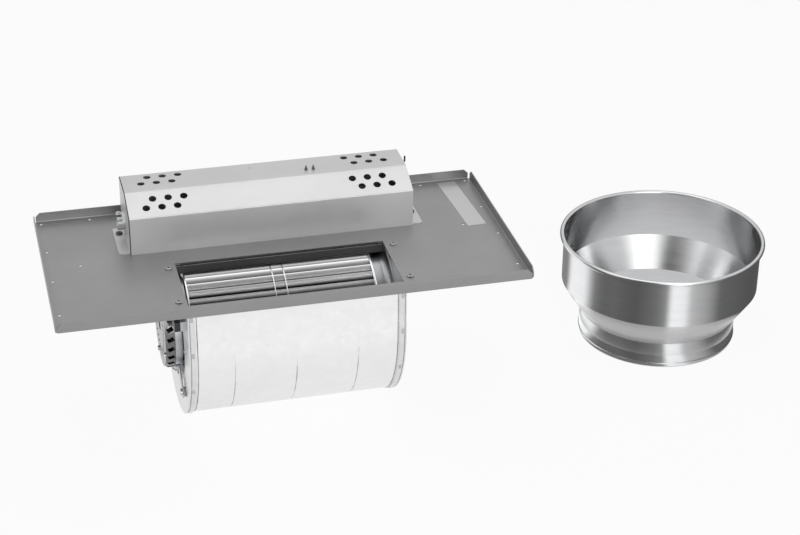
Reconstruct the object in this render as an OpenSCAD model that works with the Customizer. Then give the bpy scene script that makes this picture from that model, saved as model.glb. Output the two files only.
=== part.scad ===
// Internal blower module: a tray plate that carries a scroll blower below and a control box
// above, with a round duct reducer that stands beside it. Millimetres, +Z up.
// The origin is the middle of the plate's top face.

/* [Mounting plate] */
// width of the tray plate
plate_w = 559; // [520:1:700]
// depth of the tray plate
plate_d = 279.4; // [272:0.2:340]
// thickness of the plate sheet
plate_t = 1.2; // [0.8:0.1:2]
// height of the four edge flanges above the plate
flange_h = 12; // [8:0.5:20]
// gap at each corner where two flanges meet
corner_gap = 3; // [0.5:0.1:4]
// slanted cut at the top corners of each flange
flange_cut = 5; // [0:0.5:7]
// diameter of the fastening holes
hole_d = 4; // [3:0.1:6]
// distance of the side holes from the plate's end
side_hole_in = 8.6; // [5:0.1:12]
// rear side hole, distance behind the middle
side_hole_y1 = 132; // [125:0.1:133]
// second side hole, distance behind the middle
side_hole_y2 = 56.7; // [45:0.1:70]
// third side hole, distance in front of the middle
side_hole_y3 = 18; // [10:0.1:30]
// front side hole, distance in front of the middle
side_hole_y4 = 99.5; // [90:0.1:120]
// rear edge holes near the corners, distance from the middle
rear_hole_x = 211.5; // [195:0.5:240]
// rear edge holes behind the box, distance from the middle
rear_inner_x = 70.5; // [60:0.5:90]
// pair of holes beside the box, distance from the middle
mid_hole_x = 235.3; // [215:0.1:245]
// pair of holes beside the box, distance behind the middle
mid_hole_y = 14; // [5:0.5:24]

/* [Outlet opening] */
// left edge of the opening
open_x0 = 126; // [110:0.5:127]
// right edge of the opening
open_x1 = 127.8; // [110:0.1:130]
// front edge of the opening
open_y0 = 111.9; // [95:0.1:112.5]
// rear edge of the opening
open_y1 = 6.6; // [6.2:0.1:16]
// outlet screws, left row
outlet_screw_x0 = 135.2; // [134:0.1:137]
// outlet screws, right row
outlet_screw_x1 = 138.6; // [137:0.1:140]
// outlet screws, front row
outlet_screw_y0 = 101; // [90:0.1:106]
// outlet screws, rear row
outlet_screw_y1 = 18.2; // [14:0.1:30]

/* [Control box] */
// width of the box
box_w = 348.4; // [330:0.2:370]
// front face, distance behind the middle
box_y0 = 25.8; // [22:0.1:32]
// edge between slope and top, distance behind the middle
box_kink_y = 63.2; // [55:0.1:70]
// rear face, distance behind the middle
box_y1 = 111.5; // [105:0.1:116]
// height of the front face
box_front_h = 47.9; // [40:0.1:52]
// height of the top
box_h = 64.9; // [58:0.1:75]
// thickness of the box sheet
box_t = 1; // [0.6:0.1:1.2]
// vent hole diameter
vent_d = 9.2; // [6:0.1:10]
// distance between vent holes
vent_pitch = 18.8; // [15:0.1:19]
// first hole of the outer rows, distance from the middle
vent_x = 103.8; // [90:0.1:105]
// rear vent row on the top
vent_top_y1 = 100.1; // [96:0.1:103]
// front vent row on the top
vent_top_y0 = 83.8; // [75:0.1:86]
// rear vent row on the slope
vent_slope_y1 = 51.5; // [48:0.1:53]
// front vent row on the slope
vent_slope_y0 = 39.2; // [36:0.1:41]
// width of the outward feet
foot_w = 13.2; // [12:0.1:18]
// rounding of the feet's front corners
foot_round = 4; // [1:0.5:6]
// front end of the left foot
foot_l_y0 = 30; // [28:0.5:40]
// rear end of the left foot
foot_l_y1 = 98; // [88:0.5:105]
// front end of the right foot
foot_r_y0 = 28; // [26:0.5:40]
// rear end of the right foot
foot_r_y1 = 80; // [72:0.5:100]
// screw in the left foot, distance behind the middle
foot_screw_l_y = 83.2; // [70:0.1:86]
// screw in the right foot, distance behind the middle
foot_screw_r_y = 60; // [45:0.1:70]
// locating tabs of the cover, left one
tab_x0 = 70.4; // [60:0.1:90]
// locating tabs of the cover, right one
tab_x1 = 118.3; // [100:0.1:130]
// width of a locating tab
tab_w = 8; // [5:0.5:12]
// how far a locating tab reaches below the plate
tab_drop = 1.2; // [0.5:0.1:3]
// width of the bent lips of the end panels
lip_w = 12; // [8:0.5:16]
// cover screws, height above the plate
cover_screw_z = 30; // [20:1:40]

/* [Box fittings] */
// cable clamp, distance behind the middle
clamp_y = 76; // [62:0.5:84]
// cable clamp, height of its axis
clamp_z = 22; // [18:0.5:30]
// cable clamp body radius
clamp_r = 11; // [8:0.1:14]
// cable clamp bore radius
clamp_bore_r = 7.5; // [5:0.1:8]
// how far the cable clamp stands out
clamp_out = 9; // [6:0.1:14]
// thread length of the cable clamp inside the box
clamp_in = 7; // [6:0.1:12]
// locknut outer radius
locknut_r = 14; // [12:0.1:16]
// locknut thickness
locknut_t = 3; // [2:0.1:4]
// right bushing, distance behind the middle
bushing_y = 91.6; // [85:0.1:97]
// right bushing, depth below the top of the box
bushing_drop = 9.9; // [8:0.1:16]
// right bushing radius
bushing_r = 4; // [3:0.1:5]
// how far the right bushing stands out
bushing_out = 3; // [2:0.1:5]
// wire tail radius
tail_r = 1.1; // [0.8:0.1:1.5]
// wire tail length outside the box
tail_out = 8; // [5:0.1:12]
// control board width
board_w = 92; // [70:1:110]
// control board depth
board_d = 58; // [40:1:60]
// control board thickness
board_t = 1.6; // [1:0.1:2]
// control board middle, distance left of the middle
board_x = 40; // [20:1:60]
// board height above the plate
board_z = 8; // [6:0.5:12]
// standoff radius
standoff_r = 2.5; // [2:0.1:3.5]
// distance of a standoff from the board's edge
standoff_in = 4.5; // [4:0.1:6]
// relay block on the board, width
relay_w = 28; // [20:0.5:34]
// relay block on the board, depth
relay_d = 16; // [12:0.5:20]
// relay block on the board, height
relay_h = 15; // [10:0.5:20]
// transformer core width
trafo_w = 46; // [36:1:54]
// transformer core depth
trafo_d = 38; // [30:1:44]
// transformer core height
trafo_h = 30; // [24:1:34]
// transformer middle, distance right of the middle
trafo_x = 118; // [112:1:124]
// distance from the coil's face to the core's face
trafo_coil_out = 4; // [2:0.5:6]
// height of the transformer foot plate
trafo_foot_t = 1.5; // [1:0.1:2]
// length of each transformer foot ear
trafo_ear = 9; // [7:0.5:11]
// depth line of board, transformer and terminals, distance behind the middle
inner_y = 69; // [66:0.5:72]
// capacitor width
cap_w = 40; // [30:1:48]
// capacitor depth
cap_d = 24; // [18:1:28]
// capacitor height
cap_h = 26; // [20:1:30]
// capacitor middle, distance right of the middle
cap_x = 56; // [52:0.1:62]
// capacitor middle, distance behind the middle
cap_y = 77.5; // [76:0.1:88]
// capacitor clip thickness
clip_t = 0.8; // [0.5:0.1:1]
// capacitor clip width
clip_w = 16; // [13:0.5:20]
// distance between the two clip rivets
rivet_pitch = 9.1; // [7:0.1:11]
// clip rivet shank radius
rivet_r = 1.4; // [1:0.1:1.8]
// clip rivet head radius
rivet_head_r = 2.2; // [1.9:0.1:3]
// clip rivet head height
rivet_head_h = 1.1; // [0.6:0.1:1.6]
// height of the pointed rivet ends above the cover
rivet_tip_h = 6; // [2:0.5:8]
// terminal block length
term_w = 34; // [24:1:40]
// terminal block depth
term_d = 18; // [14:1:22]
// terminal block height
term_h = 14; // [10:1:18]
// terminal block middle, distance left of the middle
term_x = 122; // [110:1:130]
// terminal screw radius
term_screw_r = 2.4; // [1.5:0.1:2.6]

/* [Cover marks] */
// width of the notch in the middle of the rear fold
fold_notch_w = 3; // [2:0.5:5]
// depth of the notch in the rear fold
fold_notch_d = 2.4; // [1.5:0.1:4]
// width of the small slot in the cover's top
lance_w = 3.2; // [2:0.1:5]
// depth of the small slot in the cover's top
lance_d = 1; // [0.6:0.1:2]
// small slot, distance left of the middle
lance_x = 15.3; // [10:0.1:30]
// small slot, distance behind the middle
lance_y = 98; // [80:0.5:105]

/* [Label] */
// label width
label_w = 23.5; // [18:0.5:30]
// label length
label_l = 124; // [100:1:126]
// label middle, distance right of the middle
label_x = 248.5; // [246:0.5:252]
// label middle, distance behind the middle
label_y = 70; // [60:1:72]
// label thickness
label_t = 0.3; // [0.2:0.05:0.5]
// turn of the label in degrees
label_turn = 3; // [0:0.5:5]

/* [Scroll housing] */
// left side plate's outer face
scroll_x0 = 128; // [127.5:0.1:132]
// right side plate's outer face
scroll_x1 = 131.4; // [131:0.1:136]
// front wall, distance in front of the middle
scroll_y0 = 113.2; // [112.7:0.1:118]
// rear wall of the outlet duct, distance in front of the middle
duct_y1 = 5.7; // [2:0.1:6]
// depth where the front wall starts to curve
scroll_front_z = 68.7; // [60:0.1:80]
// radius of the front lower curve
scroll_front_r = 133; // [128:0.1:140]
// radius of the rear lower curve
scroll_rear_r = 99; // [95:0.1:105]
// gap between the plate and the scroll's top
scroll_top_gap = 6.2; // [5:0.1:9]
// thickness of the scroll sheets
scroll_t = 1; // [0.6:0.1:1.2]
// width of the turned rims
rim_w = 8.5; // [6:0.1:12]
// thickness of the turned rims
rim_t = 1; // [0.6:0.1:1.2]
// gap under a rim
rim_gap = 0.2; // [0.1:0.05:0.3]
// width of the outward flange under the plate
duct_flange_w = 14; // [12:0.1:15]
// width of the front and rear flanges under the plate
lip_flange_w = 8; // [5:0.1:9]
// cut-off lip depth below the scroll's top
cutoff_drop = 5; // [3:0.1:6]
// cut-off lip curl radius
cutoff_r = 3; // [2:0.1:4]
// rim clip length across the rim
rim_clip_w = 4; // [3:0.1:5]
// rim clip length along the rim
rim_clip_l = 6; // [4:0.1:10]
// rim clip thickness
rim_clip_t = 0.8; // [0.5:0.1:1.2]
// inlet opening radius
inlet_r = 62; // [61:0.1:63]
// outer radius of the inlet rings
inlet_flange_r = 73.6; // [72:0.1:73.8]
// thickness of the inlet rings
inlet_t = 0.8; // [0.6:0.1:1.2]
// depth of the rounded mouth of an inlet ring
inlet_depth = 8; // [6:0.1:9]
// straight throat of the right inlet ring
inlet_throat = 10.4; // [8:0.1:10.6]
// radius of the small rivets on the inlet rings
inlet_rivet_r = 2; // [1.5:0.1:2.5]
// height of the small rivets on the inlet rings
inlet_rivet_h = 1; // [0.6:0.1:1.5]

/* [Wheel] */
// wheel axis, distance in front of the middle
wheel_y = 1.8; // [0:0.1:4]
// wheel axis, depth below the plate
wheel_z = 82.5; // [80:0.1:84]
// outer radius of the wheel
wheel_r = 66; // [64:0.1:67]
// inner radius of the blades
blade_in_r = 57.5; // [56.5:0.1:58.5]
// left end of the wheel
wheel_x0 = 117.3; // [112:0.1:117.5]
// right end of the wheel
wheel_x1 = 110; // [100:0.1:120]
// thickness of the blades
blade_t = 0.7; // [0.5:0.05:1]
// number of blades
blade_n = 39; // [30:1:44]
// forward sweep of a blade in degrees
blade_sweep = 7.5; // [3:0.1:8]
// thickness of the end rings
ring_t = 1.6; // [1:0.1:2.5]
// how far the rings stand out past the blades
ring_out = 0.6; // [0.2:0.1:1]
// left centre disc, distance left of the middle
disc_x0 = 12; // [10:0.1:16]
// right centre disc, distance right of the middle
disc_x1 = 2.3; // [1:0.1:6]
// thickness of the centre discs
disc_t = 1; // [0.8:0.1:1.5]
// hub radius
hub_r = 17; // [14:0.1:20]
// set screw radius
set_screw_r = 2.5; // [2:0.1:3]
// set screw length
set_screw_l = 8; // [6:0.1:9]

/* [Motor] */
// motor shell radius
motor_r = 53.5; // [52:0.1:54]
// outer face of the motor
motor_x0 = 147.5; // [144:0.1:152]
// inner face of the motor
motor_x1 = 72; // [66:0.1:80]
// thickness of the motor sheet
motor_t = 1.5; // [1:0.1:2]
// depth of the inner end bell
bell_h = 4.5; // [3.5:0.1:6]
// depth of the outer end bell
outer_bell_h = 14; // [12:0.1:16]
// radius of the outer bell's flat face
shoulder_r = 51; // [50.9:0.1:51.5]
// depth of the outer bell's sloping shoulder
shoulder_h = 4; // [2.5:0.1:4.5]
// number of side vents
side_vent_n = 26; // [20:1:28]
// width of a side vent
side_vent_w = 5.4; // [4:0.1:6]
// length of a side vent
side_vent_l = 8; // [6:0.1:8.4]
// slant of the side vents in degrees
side_vent_slant = 24; // [0:1:28]
// inner end of the vent slots
vent_slot_r0 = 29; // [26:0.1:31]
// outer end of the vent slots
vent_slot_r1 = 40; // [37:0.1:41]
// width of a vent slot
vent_slot_w = 2.2; // [1.5:0.1:2.6]
// number of vent slots
vent_slot_n = 28; // [24:1:36]
// slant of the vent slots in degrees
vent_slot_slant = 22; // [0:1:30]
// shaft radius
shaft_r = 6.35; // [5:0.01:7]
// running clearance of the shaft in a bearing
bearing_play = 0.04; // [0.02:0.01:0.08]
// bearing outer radius
bearing_r = 10; // [9:0.1:11]
// bearing length
bearing_l = 14; // [10:0.1:16]
// seat clearance of fixed round pieces
seat_gap = 0.2; // [0.1:0.05:0.3]
// wall of the bearing boss
boss_t = 2.5; // [2:0.1:3]
// rotor core radius
rotor_r = 27.5; // [24:0.1:28]
// air gap between rotor and stator
air_gap = 0.5; // [0.4:0.05:0.8]
// core stack length
core_l = 30; // [24:0.5:34]
// middle of the core stack
core_x = 109; // [106:0.5:112]
// number of stator slots
slot_n = 24; // [18:2:24]
// width of a stator slot
slot_w = 3; // [2:0.1:3.4]
// outer end of the stator slots
slot_r = 41; // [38:0.5:42]
// inner radius of the windings
coil_r0 = 31; // [30:0.1:32]
// outer radius of the windings
coil_r1 = 43; // [41:0.1:44]
// length of each winding end
coil_l = 10; // [8:0.5:11]
// turn of the through bolts from straight up, in degrees
bolt_turn = 22.5; // [20:0.5:25]
// through bolt circle radius
bolt_c = 47.6; // [47:0.1:48]
// through bolt radius
bolt_r = 1.8; // [1.5:0.1:2]
// through bolt head radius
bolt_head_r = 3.2; // [2.8:0.1:3.4]
// through bolt head height
bolt_head_h = 1.6; // [1:0.1:2]

/* [Motor mount] */
// belly band thickness
band_t = 1.5; // [1:0.1:2]
// belly band width
band_w = 8; // [7:0.1:8]
// belly band's outer edge
band_x0 = 136; // [136:0.1:138]
// gap between the band's ears
ear_gap = 8; // [6:0.1:10]
// how far the ears reach out
ear_out = 9; // [7:0.1:11]
// clamp bolt radius
clamp_bolt_r = 2; // [1.5:0.1:2.5]
// clamp bolt head radius
clamp_head_r = 4; // [3.4:0.1:4]
// clamp bolt head height
clamp_head_h = 3; // [2:0.1:4]
// clamp bolt end past the nut
clamp_tail = 5; // [3:0.1:8]
// clamp nut thickness
clamp_nut_t = 3; // [2:0.1:4]
// arm width
arm_w = 14; // [10:0.1:16]
// arm thickness
arm_t = 1.6; // [1.2:0.1:2]
// radius of the arm screws' circle
arm_screw_c = 87; // [85:0.1:90]
// how far an arm runs past its screw
arm_end = 6; // [5:0.1:8]
// rubber grommet radius
grommet_r = 6; // [5:0.1:6.5]
// rubber grommet thickness
grommet_t = 2.4; // [2:0.1:3]
// arm screw radius
arm_screw_r = 2; // [1.5:0.1:2.5]
// small screw head radius
screw_head_r = 4.2; // [3.5:0.1:4.6]
// small screw head height
screw_head_h = 2.2; // [1.5:0.1:3]
// small screw shank radius
screw_r = 2.1; // [1.8:0.1:2.4]
// small screw length under the head
screw_l = 5; // [4.2:0.1:6]
// clearance round a screw shank
screw_gap = 0.3; // [0.2:0.05:0.4]

/* [Motor wiring] */
// plug block length along the side plate
plug_l = 24; // [18:0.5:30]
// plug block thickness
plug_w = 6.8; // [6:0.1:8]
// plug socket thickness
socket_w = 5.7; // [4:0.1:7]
// plug block height
plug_h = 12; // [10:0.5:14]
// plug block middle, distance in front of the middle
plug_y = 80; // [76:0.5:84]
// plug block middle, depth below the plate
plug_z = 38; // [34:0.5:42]
// motor lead radius
lead_r = 2.4; // [2:0.1:3]
// lead grommet, distance inside the box's left face
lead_in = 22.2; // [20:0.1:26]
// lead grommet, distance behind the middle
lead_y = 52; // [48:0.5:56]
// lead grommet outer radius
lead_grommet_r = 6; // [5:0.1:7]
// lead grommet groove thickness above and below the plate
lead_grommet_t = 1.4; // [1:0.1:2]

/* [Duct reducer] */
// reducer axis, distance right of the middle
red_x = 514; // [470:1:560]
// reducer axis, distance behind the middle
red_y = 46; // [20:1:80]
// outer radius of the large collar
red_r1 = 127; // [120:0.1:135]
// outer radius of the small collar
red_r0 = 101.6; // [95:0.1:108]
// height of the small collar
red_h0 = 34; // [28:0.5:40]
// height of the cone
red_h1 = 40; // [34:0.5:46]
// height of the large collar
red_h2 = 65; // [55:0.5:75]
// thickness of the reducer sheet
red_t = 1; // [0.8:0.1:1.4]
// radius of the rolled bead at the top
bead_r = 3; // [2:0.1:3.5]
// height of the small stiffening bead above the bottom
groove_z = 4.5; // [3:0.5:8]
// radius of the small stiffening bead
groove_r = 1; // [0.6:0.1:1.2]

/* [Hidden] */
$fn = 96;
cut = 0.5;

// steps of the blades' curve
blade_steps = 5;

// half sizes
hx = plate_w / 2;
hy = plate_d / 2;
bx = box_w / 2;
lead_x = bx - lead_in;
bushing_z = box_h - bushing_drop;

// box profile
slope_a = atan2(box_h - box_front_h, box_kink_y - box_y0);
function slope_z(y, t) = box_front_h + tan(slope_a) * (y - box_y0) - t / cos(slope_a);
function kink_y(t) = box_y0 + (box_h - t - box_front_h + t / cos(slope_a)) / tan(slope_a);

// scroll centres, as [y, z]
scroll_top = -plate_t - scroll_top_gap;
scroll_bottom = -scroll_front_z - scroll_front_r;
c3_y = -scroll_y0 + scroll_front_r;
c2_z = scroll_bottom + scroll_rear_r;
scroll_top_r = scroll_top - c2_z;
c1_y = c3_y + scroll_rear_r - scroll_top_r;
in_x0 = -scroll_x0 + scroll_t;
in_x1 = scroll_x1 - scroll_t;

// colours of the finishes
c_grey = [0.55, 0.55, 0.56];
c_box = [0.76, 0.77, 0.79];
c_zinc = [0.84, 0.85, 0.86];
c_dark = [0.13, 0.13, 0.14];
c_steel = [0.70, 0.70, 0.72];
c_board = [0.16, 0.38, 0.24];
c_copper = [0.72, 0.42, 0.24];
c_white = [0.90, 0.88, 0.86];

// a cylinder along X
module xrod(x0, x1, r, y = 0, z = 0)
  translate([x0, y, z])
    rotate([0, 90, 0])
      cylinder(h = x1 - x0, r = r);

// a tube along X
module xtube(x0, x1, r_out, r_in, y = 0, z = 0)
  difference() {
    xrod(x0, x1, r_out, y, z);
    xrod(x0 - cut, x1 + cut, r_in, y, z);
  }

// a flat profile drawn as (y, z), pulled along X
module xprofile(x0, x1)
  translate([x0, 0, 0])
    rotate([90, 0, 90])
      linear_extrude(height = x1 - x0)
        children();

// an axis-aligned block from corner to corner
module block(a, b)
  translate(a)
    cube(b - a);

// moves a piece drawn round the X axis onto the wheel's axis
module on_axis()
  translate([0, -wheel_y, -wheel_z])
    children();

// copies a piece round the X axis
module ring_x(n, start = 0)
  for (i = [0:n - 1])
    rotate([start + 360 * i / n, 0, 0])
      children();

// a round head with a cross recess, head up, seat at z = 0
module screw_up(r_head, h_head, r_shank, l_shank) {
  difference() {
    union() {
      cylinder(h = h_head, r = r_head);
      translate([0, 0, -l_shank])
        cylinder(h = l_shank, r = r_shank);
    }
    for (a = [0, 90])
      rotate([0, 0, a])
        translate([-r_head / 2, -r_head / 8, h_head / 2])
          cube([r_head, r_head / 4, h_head]);
  }
}

// a bent wire through route points, ten-sided
function unit(v) = v / norm(v);
function dir_at(p, i) =
  i == 0 ? unit(p[1] - p[0]) :
  i == len(p) - 1 ? unit(p[i] - p[i - 1]) :
  unit(unit(p[i + 1] - p[i]) + unit(p[i] - p[i - 1]));
function side_at(d) = unit(cross(d, abs(d[1]) < 0.9 ? [0, 1, 0] : [1, 0, 0]));
module wire(p, r, n = 10) {
  pts = [
    for (i = [0:len(p) - 1])
      let (d = dir_at(p, i), u = side_at(d), w = cross(d, u))
        for (k = [0:n - 1])
          p[i] + r * cos(360 * k / n) * u + r * sin(360 * k / n) * w
  ];
  m = len(p);
  faces = concat(
    [[for (k = [0:n - 1]) k]],
    [for (i = [0:m - 2]) for (k = [0:n - 1])
      [i * n + k, (i + 1) * n + k, (i + 1) * n + (k + 1) % n, i * n + (k + 1) % n]],
    [[for (k = [n - 1:-1:0]) (m - 1) * n + k]]
  );
  polyhedron(points = pts, faces = faces, convexity = 6);
}
// points of a smooth curve through four control points
function bez(a, b, c, d, n) = [
  for (i = [0:n])
    let (t = i / n, s = 1 - t)
      s * s * s * a + 3 * s * s * t * b + 3 * s * t * t * c + t * t * t * d
];

// ---- tray

module mounting_plate()
  color(c_grey)
    difference() {
      union() {
        block([-hx, -hy, -plate_t], [hx, hy, 0]);
        for (a = [0, 180])
          rotate([0, 0, a])
            edge_flange(hy - corner_gap, hx);
        for (a = [90, 270])
          rotate([0, 0, a])
            edge_flange(hx - corner_gap, hy);
      }
      block([-open_x0, -open_y0, -plate_t - cut], [open_x1, -open_y1, cut]);
      for (s = [-1, 1]) {
        for (y = [side_hole_y1, side_hole_y2, -side_hole_y3, -side_hole_y4])
          plate_hole(s * (hx - side_hole_in), y, hole_d / 2);
        plate_hole(s * rear_hole_x, side_hole_y1, hole_d / 2);
        plate_hole(s * rear_inner_x, side_hole_y1, hole_d / 2);
        plate_hole(s * mid_hole_x, mid_hole_y, hole_d / 2);
      }
      for (x = [-outlet_screw_x0, outlet_screw_x1])
        for (y = [-outlet_screw_y0, -outlet_screw_y1])
          plate_hole(x, y, screw_r + screw_gap);
      plate_hole(-bx - foot_w / 2, foot_screw_l_y, screw_r + screw_gap);
      plate_hole(bx + foot_w / 2, foot_screw_r_y, screw_r + screw_gap);
      plate_hole(-lead_x, lead_y, lead_grommet_r - lead_grommet_t);
      for (x = [-tab_x0, tab_x1])
        block(
          [x - tab_w / 2 - screw_gap, box_y0 - screw_gap, -plate_t - cut],
          [x + tab_w / 2 + screw_gap, box_y0 + box_t + screw_gap, cut]
        );
    }

// one edge flange, half_l long each way, with its outer face out from the middle
module edge_flange(half_l, out)
  xprofile(-out, -out + plate_t)
    polygon([
      [-half_l, -plate_t],
      [half_l, -plate_t],
      [half_l, flange_h - flange_cut],
      [half_l - flange_cut, flange_h],
      [-half_l + flange_cut, flange_h],
      [-half_l, flange_h - flange_cut]
    ]);

module plate_hole(x, y, r)
  translate([x, y, -plate_t - cut])
    cylinder(h = plate_t + 2 * cut, r = r);

module rating_label()
  color(c_white)
    difference() {
      translate([label_x, label_y, 0])
        rotate([0, 0, label_turn])
          translate([-label_w / 2, -label_l / 2, 0])
            cube([label_w, label_l, label_t]);
      translate([hx - side_hole_in, side_hole_y2, -cut])
        cylinder(h = label_t + 2 * cut, r = hole_d / 2 + screw_gap);
    }

// ---- control box

module box_shape(t)
  polygon([
    [box_y0 + t, 0],
    [box_y0 + t, slope_z(box_y0 + t, t)],
    [kink_y(t), box_h - t],
    [box_y1 - t, box_h - t],
    [box_y1 - t, 0]
  ]);

module vent_row(y, x, top)
  for (s = [-1, 1])
    for (i = [0:2])
      translate([s * (x + i * vent_pitch), y, top ? box_h : slope_z(y, 0)])
        rotate([top ? 0 : slope_a, 0, 0])
          translate([0, 0, -2 * box_t])
            cylinder(h = 4 * box_t, r = vent_d / 2);

module box_cover()
  color(c_box)
    difference() {
      union() {
        difference() {
          xprofile(-bx, bx)
            box_shape(0);
          xprofile(-bx - cut, bx + cut)
            union() {
              box_shape(box_t);
              translate([box_y0 + box_t, -cut])
                square([box_y1 - box_y0 - 2 * box_t, 2 * cut]);
            }
        }
        for (x = [-tab_x0, tab_x1])
          block(
            [x - tab_w / 2, box_y0, -plate_t - tab_drop],
            [x + tab_w / 2, box_y0 + box_t, box_t]
          );
      }
      vent_row(vent_top_y1, vent_x, true);
      vent_row(vent_top_y0, vent_x + vent_pitch / 2, true);
      vent_row(vent_slope_y1, vent_x, false);
      vent_row(vent_slope_y0, vent_x + vent_pitch / 2, false);
      for (s = [-1, 1])
        translate([s * (bx - box_t - lip_w / 2), box_y1 + cut, cover_screw_z])
          rotate([90, 0, 0])
            cylinder(h = box_t + 2 * cut, r = screw_r + screw_gap);
      for (s = [-1, 1])
        translate([cap_x + s * rivet_pitch / 2, cap_y, box_h - box_t - cut])
          cylinder(h = box_t + 2 * cut, r = rivet_r + screw_gap);
      block(
        [-fold_notch_w / 2, box_y1 - fold_notch_d, box_h - box_t - cut],
        [fold_notch_w / 2, box_y1 + cut, box_h + cut]
      );
      block(
        [-lance_x - lance_w / 2, lance_y - lance_d / 2, box_h - box_t - cut],
        [-lance_x + lance_w / 2, lance_y + lance_d / 2, box_h + cut]
      );
    }

// an end panel at the left; the right one is its mirror with its own foot
module end_panel(foot_y0, foot_y1, screw_y)
  difference() {
    union() {
      xprofile(-bx, -bx + box_t)
        box_shape(box_t);
      block([-bx - foot_w, foot_y0 + foot_round, 0], [-bx + box_t, foot_y1, box_t]);
      block([-bx - foot_w + foot_round, foot_y0, 0], [-bx + box_t, foot_y1, box_t]);
      translate([-bx - foot_w + foot_round, foot_y0 + foot_round, 0])
        cylinder(h = box_t, r = foot_round);
      block([-bx, box_y1 - 2 * box_t, 0], [-bx + box_t + lip_w, box_y1 - box_t, box_front_h]);
      block([-bx, box_y0 + box_t, 0], [-bx + box_t + lip_w, box_y0 + 2 * box_t, box_front_h - 2 * box_t]);
    }
    translate([-bx - foot_w / 2, screw_y, -cut])
      cylinder(h = box_t + 2 * cut, r = screw_r + screw_gap);
    translate([-bx + box_t + lip_w / 2, box_y1, cover_screw_z])
      rotate([90, 0, 0])
        cylinder(h = 3 * box_t, r = screw_r + screw_gap);
  }

module box_end_left()
  color(c_box)
    difference() {
      end_panel(foot_l_y0, foot_l_y1, foot_screw_l_y);
      xrod(-bx - cut, -bx + box_t + cut, clamp_bore_r + clip_t + screw_gap, clamp_y, clamp_z);
    }

module box_end_right()
  color(c_box)
    difference() {
      mirror([1, 0, 0])
        end_panel(foot_r_y0, foot_r_y1, foot_screw_r_y);
      xrod(bx - box_t - cut, bx + cut, bushing_r - bushing_r / 4 + seat_gap, bushing_y, bushing_z);
    }

module box_foot_screws()
  color(c_steel) {
    translate([-bx - foot_w / 2, foot_screw_l_y, box_t])
      screw_up(screw_head_r, screw_head_h, screw_r, screw_l);
    translate([bx + foot_w / 2, foot_screw_r_y, box_t])
      screw_up(screw_head_r, screw_head_h, screw_r, screw_l);
  }

module cover_screws()
  color(c_steel)
    for (s = [-1, 1])
      translate([s * (bx - box_t - lip_w / 2), box_y1, cover_screw_z])
        rotate([-90, 0, 0])
          screw_up(screw_head_r, screw_head_h, screw_r, screw_l);

// ---- box fittings

module cable_clamp_body()
  color(c_zinc)
    difference() {
      union() {
        xrod(-bx - clamp_out, -bx, clamp_r, clamp_y, clamp_z);
        xrod(-bx, -bx + box_t + clamp_in, clamp_bore_r + clip_t, clamp_y, clamp_z);
      }
      xrod(-bx - clamp_out - cut, -bx + box_t + clamp_in + cut, clamp_bore_r, clamp_y, clamp_z);
      block(
        [-bx - clamp_out - cut, clamp_y - clamp_r, clamp_z + clamp_bore_r / 2],
        [-bx - clamp_out / 3, clamp_y + clamp_r, clamp_z + clamp_r + cut]
      );
    }

module cable_clamp_bar()
  color(c_zinc) {
    difference() {
      block(
        [-bx - clamp_out, clamp_y - clamp_r, clamp_z + clamp_bore_r / 2],
        [-bx - clamp_out / 3, clamp_y + clamp_r, clamp_z + clamp_bore_r / 2 + 3 * box_t]
      );
      xrod(-bx - clamp_out - cut, -bx, clamp_bore_r, clamp_y, clamp_z);
    }
    for (s = [-1, 1])
      translate([
        -bx - clamp_out * 2 / 3,
        clamp_y + s * (clamp_r - bushing_r / 2),
        clamp_z + clamp_bore_r / 2 + 3 * box_t
      ])
        cylinder(h = rivet_head_h, r = rivet_head_r - rivet_head_r / 8);
  }

module cable_clamp_locknut()
  color(c_zinc)
    difference() {
      translate([-bx + box_t, clamp_y, clamp_z])
        rotate([0, 90, 0])
          cylinder(h = locknut_t, r = locknut_r, $fn = 8);
      xrod(-bx, -bx + box_t + clamp_in, clamp_bore_r + clip_t + seat_gap, clamp_y, clamp_z);
    }

module end_bushing()
  color(c_white)
    difference() {
      union() {
        xrod(bx, bx + bushing_out, bushing_r, bushing_y, bushing_z);
        xrod(bx - box_t - bushing_out, bx, bushing_r - bushing_r / 4, bushing_y, bushing_z);
      }
      xrod(bx - box_t - bushing_out - cut, bx + bushing_out + cut, tail_r + seat_gap, bushing_y, bushing_z);
    }

module wire_tail()
  color(c_dark)
    wire(
      [
        [bx - 2 * bushing_out, bushing_y, bushing_z],
        [bx + bushing_out + tail_r, bushing_y, bushing_z],
        [bx + bushing_out + 2 * tail_r, bushing_y, bushing_z + tail_r],
        [bx + bushing_out + 5 / 2 * tail_r, bushing_y, bushing_z + 3 * tail_r],
        [bx + bushing_out + 5 / 2 * tail_r, bushing_y, bushing_z + tail_out]
      ],
      tail_r
    );

module board_at()
  translate([-board_x, inner_y, board_z])
    children();

module standoff_spots()
  for (sx = [-1, 1])
    for (sy = [-1, 1])
      translate([sx * (board_w / 2 - standoff_in), sy * (board_d / 2 - standoff_in), 0])
        children();

module control_board()
  color(c_board)
    board_at()
      difference() {
        union() {
          translate([-board_w / 2, -board_d / 2, 0])
            cube([board_w, board_d, board_t]);
          translate([-board_w / 4 - relay_w / 2, -relay_d / 2, board_t])
            cube([relay_w, relay_d, relay_h]);
          translate([board_w / 4 - relay_w / 2, -relay_d / 2, board_t])
            cube([relay_w, relay_d, relay_h]);
        }
        standoff_spots()
          translate([0, 0, -cut])
            cylinder(h = board_t + 2 * cut, r = standoff_r / 2 + seat_gap);
      }

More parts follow.
